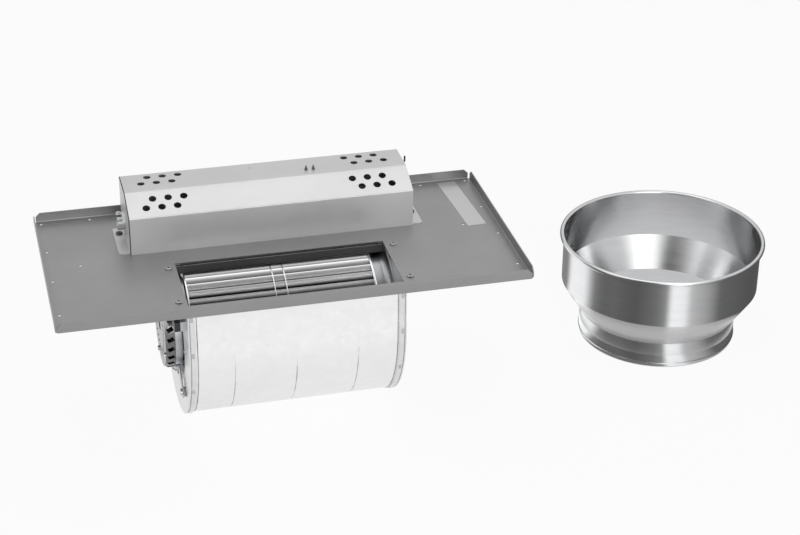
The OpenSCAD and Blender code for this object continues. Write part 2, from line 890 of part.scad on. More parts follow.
module board_standoffs()
  color(c_white)
    board_at()
      standoff_spots() {
        translate([0, 0, -board_z])
          cylinder(h = board_z, r = standoff_r);
        cylinder(h = board_t, r = standoff_r / 2);
        translate([0, 0, board_t])
          cylinder(h = standoff_r / 2, r = standoff_r * 3 / 4);
      }

module transformer_core()
  color(c_dark)
    difference() {
      union() {
        block(
          [trafo_x - trafo_w / 2, inner_y - trafo_d / 2 + trafo_coil_out, trafo_foot_t],
          [trafo_x + trafo_w / 2, inner_y + trafo_d / 2 - trafo_coil_out, trafo_foot_t + trafo_h]
        );
        block(
          [trafo_x - trafo_w / 2 - trafo_ear, inner_y - trafo_d / 4, 0],
          [trafo_x + trafo_w / 2 + trafo_ear, inner_y + trafo_d / 4, trafo_foot_t]
        );
      }
      for (s = [-1, 1])
        translate([trafo_x + s * trafo_w * 3 / 10, inner_y, trafo_foot_t + trafo_h / 2])
          cube([trafo_w / 5, trafo_d, trafo_h * 3 / 5], center = true);
      for (s = [-1, 1])
        translate([trafo_x + s * (trafo_w / 2 + trafo_ear / 2), inner_y, -cut])
          cylinder(h = trafo_foot_t + 2 * cut, r = screw_r);
    }

module transformer_coil()
  color(c_copper)
    difference() {
      translate([trafo_x, inner_y, trafo_foot_t + trafo_h / 2])
        cube([trafo_w * 4 / 5 - 2 * seat_gap, trafo_d, trafo_h * 3 / 5 - 2 * seat_gap], center = true);
      translate([trafo_x, inner_y, trafo_foot_t + trafo_h / 2])
        cube(
          [trafo_w * 2 / 5 + 2 * seat_gap, trafo_d - 2 * trafo_coil_out + 2 * seat_gap, trafo_h],
          center = true
        );
    }

module run_capacitor()
  color(c_dark)
    block(
      [cap_x - cap_w / 2, cap_y - cap_d / 2, box_h - box_t - 2 * clip_t - rivet_head_h - cap_h],
      [cap_x + cap_w / 2, cap_y + cap_d / 2, box_h - box_t - 2 * clip_t - rivet_head_h]
    );

module capacitor_clip()
  color(c_steel) {
    z1 = box_h - box_t;
    zc = z1 - 2 * clip_t - rivet_head_h;
    difference() {
      block(
        [cap_x - clip_w / 2, cap_y - cap_d / 2 - clip_t, z1 - clip_t],
        [cap_x + clip_w / 2, cap_y + cap_d / 2 + clip_t, z1]
      );
      for (s = [-1, 1])
        translate([cap_x + s * rivet_pitch / 2, cap_y, z1 - clip_t - cut])
          cylinder(h = clip_t + 2 * cut, r = rivet_r + screw_gap);
    }
    for (s = [-1, 1])
      translate([cap_x, cap_y + s * (cap_d / 2 + clip_t / 2), (z1 + zc - cap_h - clip_t) / 2])
        cube([clip_w, clip_t, z1 - zc + cap_h + clip_t], center = true);
    for (s = [-1, 1])
      translate([cap_x, cap_y + s * (cap_d / 2 - clip_w / 8), zc - cap_h - clip_t / 2])
        cube([clip_w, clip_w / 4, clip_t], center = true);
  }

module clip_rivets()
  color(c_steel)
    for (s = [-1, 1])
      translate([cap_x + s * rivet_pitch / 2, cap_y, 0]) {
        translate([0, 0, box_h])
          cylinder(h = rivet_tip_h, r1 = rivet_head_r, r2 = rivet_head_r / 8);
        translate([0, 0, box_h - box_t - clip_t])
          cylinder(h = box_t + clip_t, r = rivet_r);
        translate([0, 0, box_h - box_t - clip_t - rivet_head_h])
          cylinder(h = rivet_head_h, r = rivet_head_r);
      }

module terminal_block()
  color(c_white)
    difference() {
      block(
        [-term_x - term_w / 2, inner_y - term_d / 2, 0],
        [-term_x + term_w / 2, inner_y + term_d / 2, term_h]
      );
      term_spots()
        translate([0, 0, term_h * 2 / 3])
          cylinder(h = term_h, r = term_screw_r + screw_gap);
    }

module term_spots()
  for (i = [-1, 0, 1])
    for (s = [-1, 1])
      translate([-term_x + i * term_w / 3, inner_y + s * term_d / 4, 0])
        children();

module terminal_screws()
  color(c_steel)
    term_spots()
      translate([0, 0, term_h * 2 / 3])
        cylinder(h = term_h / 4, r = term_screw_r);

// ---- scroll housing

// the scroll's outline in (y, z), moved outwards by d
module scroll_shape(d) {
  top = scroll_top + d;
  translate([-scroll_y0 - d, -scroll_front_z])
    square([scroll_y0 - duct_y1 + 2 * d, scroll_front_z - plate_t]);
  translate([-scroll_y0 - d, -scroll_front_z])
    square([scroll_y0 + d + c3_y, scroll_front_z + top]);
  intersection() {
    translate([c3_y, -scroll_front_z])
      circle(r = scroll_front_r + d);
    translate([-scroll_y0 - d - cut, scroll_bottom - d - cut])
      square([scroll_front_r + d + cut, scroll_front_r + d + cut]);
  }
  translate([c3_y, c2_z])
    square([c1_y - c3_y, top - c2_z]);
  intersection() {
    translate([c3_y, c2_z])
      circle(r = scroll_rear_r + d);
    translate([c3_y, scroll_bottom - d - cut])
      square([scroll_rear_r + d + cut, scroll_rear_r + d + cut]);
  }
  intersection() {
    translate([c1_y, c2_z])
      circle(r = scroll_top_r + d);
    translate([c1_y, c2_z])
      square([scroll_top_r + d + cut, scroll_top_r + d + cut]);
  }
}

module scroll_wrapper()
  color(c_zinc) {
    difference() {
      xprofile(in_x0, in_x1)
        scroll_shape(0);
      xprofile(in_x0 - cut, in_x1 + cut)
        scroll_shape(-scroll_t);
    }
    block(
      [in_x0 + rim_w, -scroll_y0 - lip_flange_w, -plate_t - scroll_t],
      [in_x1 - rim_w, -scroll_y0, -plate_t]
    );
    block(
      [in_x0 + rim_w, -duct_y1, -plate_t - scroll_t],
      [in_x1 - rim_w, -duct_y1 + lip_flange_w, -plate_t]
    );
  }

// one side plate with its rim and its flange; side -1 is the left
module scroll_side(side) {
  xa = side < 0 ? -scroll_x0 : in_x1;
  xr = side < 0 ? -scroll_x0 : scroll_x1 - rim_w;
  xf = side < 0 ? -scroll_x0 - duct_flange_w : scroll_x1;
  screw_x = side < 0 ? -outlet_screw_x0 : outlet_screw_x1;
  difference() {
    union() {
      xprofile(xa, xa + scroll_t)
        scroll_shape(rim_gap + rim_t);
      difference() {
        xprofile(xr, xr + rim_w)
          scroll_shape(rim_gap + rim_t);
        xprofile(xr - cut, xr + rim_w + cut)
          union() {
            scroll_shape(rim_gap);
            translate([-scroll_y0 - rim_gap, -plate_t - cut])
              square([scroll_y0 - duct_y1 + 2 * rim_gap, 2 * cut]);
          }
      }
      block(
        [xf, -scroll_y0 + lip_flange_w / 2, -plate_t - scroll_t],
        [xf + duct_flange_w, -duct_y1 - lip_flange_w / 2, -plate_t]
      );
    }
    on_axis()
      xrod(xa - cut, xa + scroll_t + cut, inlet_r + inlet_depth);
    for (y = [-outlet_screw_y0, -outlet_screw_y1])
      translate([screw_x, y, -plate_t - scroll_t - cut])
        cylinder(h = scroll_t + 2 * cut, r = screw_r + screw_gap);
    if (side < 0)
      on_axis()
        ring_x(4, 45)
          translate([xa - cut, 0, arm_screw_c])
            rotate([0, 90, 0])
              cylinder(h = scroll_t + 2 * cut, r = arm_screw_r + screw_gap);
  }
}

module scroll_side_left()
  color(c_zinc)
    scroll_side(-1);

module scroll_side_right()
  color(c_zinc)
    scroll_side(1);

// a bell-mouth ring; its flange lies on the inner face of the side plate at x = 0
module inlet_ring(throat)
  rotate([0, 90, 0])
    rotate_extrude($fn = 144) {
      if (throat > 0)
        translate([inlet_r, inlet_depth])
          square([inlet_t, throat]);
      translate([inlet_r + inlet_depth, 0])
        square([inlet_flange_r - inlet_r - inlet_depth, inlet_t]);
      intersection() {
        difference() {
          translate([inlet_r + inlet_depth, inlet_depth])
            circle(r = inlet_depth);
          translate([inlet_r + inlet_depth, inlet_depth])
            circle(r = inlet_depth - inlet_t);
        }
        translate([inlet_r, 0])
          square([inlet_depth, inlet_depth]);
      }
    }

module inlet_ring_left()
  color(c_zinc)
    on_axis()
      translate([in_x0, 0, 0])
        inlet_ring(0);

module inlet_ring_right()
  color(c_zinc)
    on_axis()
      translate([in_x1, 0, 0])
        mirror([1, 0, 0])
          inlet_ring(inlet_throat);

module inlet_rivets()
  color(c_steel)
    on_axis()
      ring_x(4, 0) {
        xrod(-scroll_x0 - inlet_rivet_h, -scroll_x0, inlet_rivet_r, 0, inlet_flange_r - inlet_rivet_r);
        xrod(scroll_x1, scroll_x1 + inlet_rivet_h, inlet_rivet_r, 0, inlet_flange_r - inlet_rivet_r);
      }

module cutoff_lip()
  color(c_zinc)
    difference() {
      xprofile(in_x0 + inlet_t + seat_gap, in_x1 - inlet_t - seat_gap)
        union() {
          translate([-duct_y1 - scroll_t - scroll_t, scroll_top - cutoff_drop])
            square([scroll_t, cutoff_drop + scroll_top_gap / 2]);
          intersection() {
            difference() {
              translate([-duct_y1 - 2 * scroll_t + cutoff_r, scroll_top - cutoff_drop])
                circle(r = cutoff_r);
              translate([-duct_y1 - 2 * scroll_t + cutoff_r, scroll_top - cutoff_drop])
                circle(r = cutoff_r - scroll_t);
            }
            translate([-duct_y1 - 2 * scroll_t, scroll_top - cutoff_drop - cutoff_r])
              square([cutoff_r, cutoff_r]);
          }
        }
    }

// two clips, one on the middle of each rim, that grow outwards along -Y
module clip_pair()
  for (x = [-scroll_x0 + rim_w / 2, scroll_x1 - rim_w / 2])
    translate([x - rim_clip_w / 2, -rim_clip_t, -rim_clip_l / 2])
      cube([rim_clip_w, rim_clip_t, rim_clip_l]);

module clip_round(cy, cz, r, a)
  translate([0, cy, cz])
    rotate([a, 0, 0])
      translate([0, -r - rim_t - rim_gap * 3 / 2, 0])
        clip_pair();

module rim_clips()
  color(c_steel) {
    for (share = [13 / 50, 24 / 25])
      translate([0, -scroll_y0 - rim_gap - rim_t, -scroll_front_z * share])
        clip_pair();
    clip_round(c3_y, -scroll_front_z, scroll_front_r, 23);
    clip_round(c3_y, -scroll_front_z, scroll_front_r, 55);
    clip_round(c3_y, -scroll_front_z, scroll_front_r, 84);
    clip_round(c3_y, c2_z, scroll_rear_r, 130);
    clip_round(c3_y, c2_z, scroll_rear_r, 165);
    clip_round(c1_y, c2_z, scroll_top_r, 205);
  }

module outlet_screws()
  color(c_steel)
    for (x = [-outlet_screw_x0, outlet_screw_x1])
      for (y = [-outlet_screw_y0, -outlet_screw_y1])
        translate([x, y, 0])
          screw_up(screw_head_r, screw_head_h, screw_r, screw_l);

// ---- motor

module motor_shell()
  color(c_steel)
    on_axis()
      xtube(-motor_x0 + outer_bell_h, -motor_x1 - bell_h, motor_r, motor_r - motor_t);

// a pressed end bell with its face at x = 0 and its skirt towards +X
module end_bell(skirt, face_r, slope_h)
  difference() {
    rotate([0, 90, 0])
      rotate_extrude()
        union() {
          polygon([
            [0, 0],
            [face_r, 0],
            [motor_r, slope_h],
            [motor_r, skirt],
            [motor_r - motor_t, skirt],
            [motor_r - motor_t, slope_h + motor_t],
            [face_r - motor_t, motor_t],
            [0, motor_t]
          ]);
          square([bearing_r + seat_gap + boss_t, motor_t + bearing_l]);
        }
    xrod(motor_t, motor_t + bearing_l + cut, bearing_r + seat_gap);
    xrod(-cut, motor_t + cut, shaft_r + 2 * air_gap);
    ring_x(4, bolt_turn)
      translate([0, 0, bolt_c])
        xrod(-cut, bell_h + cut, bolt_r + seat_gap);
  }

module motor_outer_bell()
  color(c_steel)
    on_axis()
      difference() {
        translate([-motor_x0, 0, 0])
          end_bell(outer_bell_h, shoulder_r, shoulder_h);
        ring_x(side_vent_n, 0)
          translate([-motor_x0 + (outer_bell_h + motor_t) / 2 - motor_t, 0, motor_r - motor_t])
            rotate([0, 0, side_vent_slant])
              cube([side_vent_l, side_vent_w, 4 * motor_t], center = true);
        ring_x(vent_slot_n, 0)
          translate([-motor_x0 - cut, 0, (vent_slot_r0 + vent_slot_r1) / 2])
            rotate([vent_slot_slant, 0, 0])
              translate([0, -vent_slot_w / 2, -(vent_slot_r1 - vent_slot_r0) / 2])
                cube([motor_t + 2 * cut, vent_slot_w, vent_slot_r1 - vent_slot_r0]);
      }

module motor_inner_bell()
  color(c_steel)
    on_axis()
      translate([-motor_x1, 0, 0])
        mirror([1, 0, 0])
          end_bell(bell_h, shoulder_r, motor_t);

module motor_bearings()
  color(c_copper)
    on_axis() {
      xtube(
        -motor_x0 + motor_t, -motor_x0 + motor_t + bearing_l,
        bearing_r, shaft_r + bearing_play
      );
      xtube(
        -motor_x1 - motor_t - bearing_l, -motor_x1 - motor_t,
        bearing_r, shaft_r + bearing_play
      );
    }

module stator_core()
  color(c_steel)
    on_axis()
      difference() {
        xtube(
          -core_x - core_l / 2, -core_x + core_l / 2,
          motor_r - motor_t - seat_gap, rotor_r + air_gap
        );
        ring_x(slot_n, 0)
          translate([-core_x - core_l / 2 - cut, -slot_w / 2, rotor_r + air_gap + slot_w / 2])
            cube([core_l + 2 * cut, slot_w, slot_r - rotor_r - air_gap - slot_w / 2]);
        ring_x(4, bolt_turn)
          translate([0, 0, bolt_c])
            xrod(-core_x - core_l / 2 - cut, -core_x + core_l / 2 + cut, bolt_r + seat_gap);
      }

module stator_windings()
  color(c_copper)
    on_axis() {
      xtube(-core_x - core_l / 2 - coil_l, -core_x - core_l / 2, coil_r1, coil_r0);
      xtube(-core_x + core_l / 2, -core_x + core_l / 2 + coil_l, coil_r1, coil_r0);
    }

module motor_bolts()
  color(c_steel)
    on_axis()
      ring_x(4, bolt_turn)
        translate([0, 0, bolt_c]) {
          xrod(-motor_x0 - bolt_head_h, -motor_x0, bolt_head_r);
          xrod(-motor_x0, -motor_x1, bolt_r);
          xrod(-motor_x1, -motor_x1 + bolt_head_h, bolt_head_r);
        }

// ---- motor mount

module belly_band()
  color(c_steel)
    on_axis()
      difference() {
        union() {
          xtube(
            -band_x0, -band_x0 + band_w,
            motor_r + seat_gap + band_t, motor_r + seat_gap
          );
          for (s = [-1, 1])
            block(
              [-band_x0, s * (ear_gap + band_t) / 2 - band_t / 2, -motor_r - ear_out],
              [-band_x0 + band_w, s * (ear_gap + band_t) / 2 + band_t / 2, -motor_r - seat_gap]
            );
        }
        block(
          [-band_x0 - cut, -ear_gap / 2, -motor_r - ear_out - cut],
          [-band_x0 + band_w + cut, ear_gap / 2, -motor_r + ear_out]
        );
        xrod(-band_x0 - cut, -band_x0 + band_w + cut, motor_r + seat_gap);
        translate([-band_x0 + band_w / 2, -ear_gap, -motor_r - ear_out * 3 / 5])
          rotate([-90, 0, 0])
            cylinder(h = 2 * ear_gap, r = clamp_bolt_r + seat_gap);
      }

module band_clamp_bolt()
  color(c_steel)
    on_axis()
      translate([-band_x0 + band_w / 2, 0, -motor_r - ear_out * 3 / 5])
        rotate([-90, 0, 0]) {
          e = ear_gap / 2 + band_t;
          translate([0, 0, e])
            cylinder(h = clamp_head_h, r = clamp_head_r);
          translate([0, 0, -e - clamp_nut_t - clamp_tail])
            cylinder(h = 2 * e + clamp_nut_t + clamp_tail, r = clamp_bolt_r);
          translate([0, 0, -e - clamp_nut_t])
            cylinder(h = clamp_nut_t, r = clamp_head_r, $fn = 6);
        }

// arms: a strip that starts on the band, steps in and lies over a grommet on the side plate
arm_x = -scroll_x0 - grommet_t - arm_t;
module mount_arms()
  color(c_steel)
    on_axis()
      ring_x(4, 45)
        difference() {
          union() {
            block(
              [arm_x, -arm_w / 2, motor_r + seat_gap + band_t + seat_gap],
              [arm_x + arm_t, arm_w / 2, arm_screw_c + arm_end]
            );
            block(
              [-band_x0, -arm_w / 2, motor_r + seat_gap + band_t + seat_gap],
              [arm_x + arm_t, arm_w / 2, motor_r + seat_gap + band_t + seat_gap + arm_t]
            );
          }
          translate([0, 0, arm_screw_c])
            xrod(arm_x - cut, arm_x + arm_t + cut, arm_screw_r + screw_gap);
        }

module mount_grommets()
  color(c_dark)
    on_axis()
      ring_x(4, 45)
        translate([0, 0, arm_screw_c])
          xtube(-scroll_x0 - grommet_t, -scroll_x0, grommet_r, arm_screw_r + screw_gap);

module arm_screws()
  color(c_steel)
    on_axis()
      ring_x(4, 45)
        translate([0, 0, arm_screw_c]) {
          xrod(arm_x - screw_head_h, arm_x, screw_head_r);
          xrod(arm_x, in_x0 + screw_head_h, arm_screw_r);
        }

// ---- motor wiring

module motor_plug()
  color(c_dark)
    block(
      [-scroll_x0 - socket_w - plug_w, -plug_y - plug_l / 2, -plug_z - plug_h / 2],
      [-scroll_x0 - socket_w, -plug_y + plug_l / 2, -plug_z + plug_h / 2]
    );

module plug_socket()
  color(c_steel)
    block(
      [-scroll_x0 - socket_w, -plug_y - plug_l / 2, -plug_z - plug_h / 2],
      [-scroll_x0, -plug_y + plug_l / 2, -plug_z + plug_h / 2]
    );

// the lead leaves the outer bell near its front top and bends to the plug
lead_a = [-motor_x0 - 2 * seat_gap, -wheel_y - motor_r / 2, -wheel_z + motor_r * 3 / 5];
plug_mid = [-scroll_x0 - socket_w - plug_w / 2, -plug_y + plug_l / 2, -plug_z];
module motor_lead()
  color(c_dark)
    wire(
      concat(
        bez(
          lead_a,
          lead_a + [-6 / 5 * plug_w, 0, 0],
          plug_mid + [-11 / 5 * plug_w, plug_l, -plug_h / 4],
          plug_mid + [0, 2 * lead_r, 0],
          12
        ),
        [plug_mid + [0, seat_gap / 2, 0]]
      ),
      lead_r
    );

// the supply lead runs from the plug under the plate, up through its grommet to the terminals
sup_z = -plate_t - 4 * lead_r - scroll_t;
module supply_lead()
  color(c_dark)
    wire(
      concat(
        [plug_mid + [0, -plug_l / 2, plug_h / 2 + seat_gap / 2]],
        bez(
          plug_mid + [0, -plug_l / 2, plug_h / 2 + lead_r],
          plug_mid + [0, -plug_l / 2, plug_h + lead_r],
          [-lead_x + lead_r, -plug_y + plug_l / 2, sup_z],
          [-lead_x, -plug_y + 2 * plug_l, sup_z],
          8
        ),
        bez(
          [-lead_x, lead_y - plug_l, sup_z],
          [-lead_x, lead_y, sup_z],
          [-lead_x, lead_y, sup_z],
          [-lead_x, lead_y, -plate_t - lead_r],
          6
        ),
        bez(
          [-lead_x, lead_y, plate_t],
          [-lead_x, lead_y, term_h / 2],
          [-lead_x, inner_y, term_h / 2],
          [-term_x - term_w / 2, inner_y, term_h / 2],
          8
        )
      ),
      lead_r
    );

module lead_grommet()
  color(c_dark)
    translate([-lead_x, lead_y, 0])
      difference() {
        union() {
          cylinder(h = lead_grommet_t, r = lead_grommet_r);
          translate([0, 0, -plate_t])
            cylinder(h = plate_t, r = lead_grommet_r - lead_grommet_t - seat_gap);
          translate([0, 0, -plate_t - lead_grommet_t])
            cylinder(h = lead_grommet_t, r = lead_grommet_r);
        }
        translate([0, 0, -plate_t - lead_grommet_t - cut])
          cylinder(h = plate_t + 2 * lead_grommet_t + 2 * cut, r = lead_r + seat_gap);
      }

// ---- wheel, turning about the motor's axis

module motor_shaft()
  color(c_steel)
    on_axis()
      xrod(-motor_x0 + motor_t, disc_x1 + disc_t + bearing_l / 2, shaft_r);

module rotor_core()
  color(c_steel)
    on_axis()
      xtube(-core_x - core_l / 2, -core_x + core_l / 2, rotor_r, shaft_r + seat_gap);

module wheel_hub()
  color(c_steel)
    on_axis()
      difference() {
        xrod(-disc_x0 + disc_t / 2, disc_x1 - disc_t / 2, hub_r);
        xrod(-disc_x0, disc_x1, shaft_r + seat_gap);
        translate([(disc_x1 - disc_x0) / 2, 0, 0])
          cylinder(h = hub_r + cut, r = set_screw_r + seat_gap);
      }

module hub_set_screw()
  color(c_dark)
    on_axis()
      translate([(disc_x1 - disc_x0) / 2, 0, shaft_r + seat_gap])
        cylinder(h = set_screw_l, r = set_screw_r);

module wheel_discs()
  color(c_zinc)
    on_axis() {
      xtube(-disc_x0 - disc_t / 2, -disc_x0 + disc_t / 2, wheel_r + ring_out, shaft_r + seat_gap);
      xtube(disc_x1 - disc_t / 2, disc_x1 + disc_t / 2, wheel_r + ring_out, shaft_r + seat_gap);
    }

module wheel_end_rings()
  color(c_zinc)
    on_axis() {
      xtube(-wheel_x0, -wheel_x0 + ring_t, wheel_r + ring_out, blade_in_r);
      xtube(wheel_x1 - ring_t, wheel_x1, wheel_r + ring_out, blade_in_r);
    }

// one blade's section: a thin sheet that sweeps forward as it goes out
function blade_pt(i, side) =
  let (
    t = i / blade_steps,
    r = blade_in_r + (wheel_r - blade_in_r) * t,
    a = 90 - blade_sweep * t * t + side * blade_t / 2 / r * 180 / PI
  )
  [r * cos(a), r * sin(a)];

module blade_row(x0, x1)
  on_axis()
    ring_x(blade_n, 0)
      xprofile(x0, x1)
        polygon(concat(
          [for (i = [0:blade_steps]) blade_pt(i, -1)],
          [for (i = [blade_steps:-1:0]) blade_pt(i, 1)]
        ));

module blades_left()
  color(c_zinc)
    blade_row(-wheel_x0 + ring_t, -disc_x0 - disc_t / 2);

module blades_centre()
  color(c_zinc)
    blade_row(-disc_x0 + disc_t / 2, disc_x1 - disc_t / 2);

module blades_right()
  color(c_zinc)
    blade_row(disc_x1 + disc_t / 2, wheel_x1 - ring_t);

// ---- duct reducer, standing level with the scroll's lowest point

red_z0 = scroll_bottom - rim_gap - rim_t;
red_z1 = red_z0 + red_h0;
red_z2 = red_z1 + red_h1;
red_z3 = red_z2 + red_h2;

module on_reducer()
  translate([red_x, red_y, 0])
    rotate_extrude($fn = 180)
      children();

module reducer_large_collar()
  color(c_steel)
    on_reducer() {
      translate([red_r1 - red_t, red_z2])
        square([red_t, red_h2 - bead_r]);
      difference() {
        translate([red_r1 + bead_r - red_t, red_z3 - bead_r])
          circle(r = bead_r);
        translate([red_r1 + bead_r - red_t, red_z3 - bead_r])
          circle(r = bead_r - red_t);
      }
    }

module reducer_cone()
  color(c_steel)
    on_reducer()
      polygon([
        [red_r0, red_z1],
        [red_r1, red_z2],
        [red_r1 - red_t, red_z2],
        [red_r0 - red_t, red_z1]
      ]);

module reducer_small_collar()
  color(c_steel)
    on_reducer() {
      translate([red_r0 - red_t, red_z0])
        square([red_t, red_h0]);
      difference() {
        translate([red_r0 - red_t / 2, red_z0 + groove_z])
          circle(r = groove_r + red_t / 2);
        translate([0, red_z0])
          square([red_r0 - red_t, red_h0]);
      }
    }

mounting_plate();
rating_label();
box_cover();
box_end_left();
box_end_right();
box_foot_screws();
cover_screws();
cable_clamp_body();
cable_clamp_locknut();
cable_clamp_bar();
end_bushing();
wire_tail();
control_board();
board_standoffs();
transformer_core();
transformer_coil();
run_capacitor();
capacitor_clip();
clip_rivets();
terminal_block();
terminal_screws();
scroll_wrapper();
scroll_side_left();
scroll_side_right();
inlet_ring_left();
inlet_ring_right();
cutoff_lip();
rim_clips();
outlet_screws();
inlet_rivets();
motor_shell();
motor_outer_bell();
motor_inner_bell();
motor_bearings();
stator_core();
stator_windings();
motor_bolts();
belly_band();
band_clamp_bolt();
mount_arms();
mount_grommets();
arm_screws();
motor_plug();
plug_socket();
motor_lead();
supply_lead();
lead_grommet();
motor_shaft();
rotor_core();
wheel_hub();
hub_set_screw();
wheel_discs();
wheel_end_rings();
blades_left();
blades_centre();
blades_right();
reducer_large_collar();
reducer_cone();
reducer_small_collar();
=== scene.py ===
"""Dresses the internal blower module and its loose duct reducer for a studio picture.

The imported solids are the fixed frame. Folded sheets, wires and coils are rebuilt here as finer
surfaces in the same place, and every visible piece gets the finish of its real material.
"""

import logging
import math
from collections.abc import Callable
from dataclasses import dataclass
from enum import Enum
from typing import ClassVar

import bmesh
import bpy
import numpy as np
from mathutils import Matrix, Vector
from mathutils.geometry import delaunay_2d_cdt


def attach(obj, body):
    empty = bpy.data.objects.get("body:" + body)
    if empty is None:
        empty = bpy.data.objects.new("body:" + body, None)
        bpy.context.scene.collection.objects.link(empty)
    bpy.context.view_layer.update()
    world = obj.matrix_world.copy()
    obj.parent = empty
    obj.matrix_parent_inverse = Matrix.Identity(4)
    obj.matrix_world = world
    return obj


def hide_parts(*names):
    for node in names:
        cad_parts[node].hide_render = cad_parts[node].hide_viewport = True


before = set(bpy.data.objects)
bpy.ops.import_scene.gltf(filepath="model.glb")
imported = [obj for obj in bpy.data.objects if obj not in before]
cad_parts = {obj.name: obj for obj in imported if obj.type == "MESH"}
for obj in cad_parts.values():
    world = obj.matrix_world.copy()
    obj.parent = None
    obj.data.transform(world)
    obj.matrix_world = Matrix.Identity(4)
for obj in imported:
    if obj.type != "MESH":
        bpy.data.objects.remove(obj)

logging.basicConfig(level=logging.INFO, format="%(message)s")
log = logging.getLogger("blower")

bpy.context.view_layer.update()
MM = 0.001
# how far a bend's chords may lie inside its arc, and the widest step round a bend
SAG_MM = 0.03
MAX_BEND_STEP = math.radians(15.0)
# points closer than this are one
WELD_M = 2e-7
# pitch in metres of a wave texture of scale 1
WAVE_PITCH = 0.314

Point = tuple[float, float, float]
Tones = tuple[tuple[float, float], ...]
Shape = tuple[np.ndarray, list]
MapSheet = Callable[[np.ndarray], tuple[np.ndarray, np.ndarray]]
Socket = bpy.types.NodeSocket


class Body(Enum):
    """The two bodies of the record: everything fixed, and what spins."""

    HOUSING = "housing"
    WHEEL = "wheel"


# ---------------------------------------------------------------- colours and shader nodes


def srgb(code: str) -> tuple[float, float, float, float]:
    """Turns an sRGB hex colour into Blender's linear colour.

    Args:
        code: six hex digits with a leading hash.

    Returns:
        Linear red, green, blue and an alpha of one.
    """
    parts = np.array([int(code[i : i + 2], 16) for i in (1, 3, 5)]) / 255.0
    linear = np.where(parts <= 0.04045, parts / 12.92, ((parts + 0.055) / 1.055) ** 2.4)
    return (*[float(v) for v in linear], 1.0)


class Graph:
    """A node tree under construction."""

    def __init__(self, owner: bpy.types.Material | bpy.types.World) -> None:
        """Empties the owner's node tree."""
        owner.use_nodes = True
        self.tree = owner.node_tree
        self.tree.nodes.clear()

    def feed(self, socket: Socket, value: object) -> None:
        """Links an output socket to an input, or sets the input to a constant."""
        if isinstance(value, bpy.types.NodeSocket):
            self.tree.links.new(value, socket)
        else:
            socket.default_value = value

    def node(
        self, kind: str, inputs: dict[str | int, object] | None = None, **settings: object
    ) -> bpy.types.Node:
        """Adds one shader node with its settings, values and links.

        Args:
            kind: the node's type name without the ShaderNode prefix.
            inputs: socket name or number, and the value or the output socket that feeds it.
            settings: properties of the node.

        Returns:
            The new node.
        """
        node = self.tree.nodes.new("ShaderNode" + kind)
        for name, value in settings.items():
            setattr(node, name, value)
        for name, value in (inputs or {}).items():
            self.feed(node.inputs[name], value)
        return node

    def math(self, operation: str, *values: object, clamp: bool = False) -> Socket:
        """Adds one step of arithmetic.

        Args:
            operation: the Math node's operation.
            values: its inputs in order.
            clamp: keeps the result between zero and one.

        Returns:
            The result.
        """
        inputs = dict(enumerate(values))
        return self.node("Math", inputs, operation=operation, use_clamp=clamp).outputs[0]

    def remap(
        self,
        value: Socket,
        source: tuple[float, float],
        target: tuple[float, float],
        easing: str = "LINEAR",
    ) -> Socket:
        """Carries a value from one range to another, held at its ends.

        Args:
            value: the value.
            source: the range that it comes from.
            target: the range that it goes to.
            easing: the way between the ends.

        Returns:
            The result.
        """
        names = ("From Min", "From Max", "To Min", "To Max")
        inputs = {"Value": value, **dict(zip(names, (*source, *target)))}
        return self.node("MapRange", inputs, interpolation_type=easing).outputs["Result"]

    def ramp(self, factor: Socket, stops: list[tuple[float, tuple | str]]) -> Socket:
        """Adds a colour ramp.

        Args:
            factor: place along the ramp.
            stops: position of each stop and its linear or hex colour, in order.

        Returns:
            The colour.
        """
        node = self.node("ValToRGB", {"Fac": factor})
        ramp = node.color_ramp
        while len(ramp.elements) < len(stops):
            ramp.elements.new(0.5)
        for element, (position, colour) in zip(ramp.elements, stops):
            element.position = position
            element.color = srgb(colour) if isinstance(colour, str) else colour
        return node.outputs["Color"]

    def metres(self, stretch: Point = (1.0, 1.0, 1.0)) -> Socket:
        """Object coordinates in metres, stretched along each axis for a pattern."""
        place = self.node("TexCoord").outputs["Object"]
        inputs = {"Vector": place, "Scale": stretch}
        return self.node("Mapping", inputs, vector_type="POINT").outputs["Vector"]


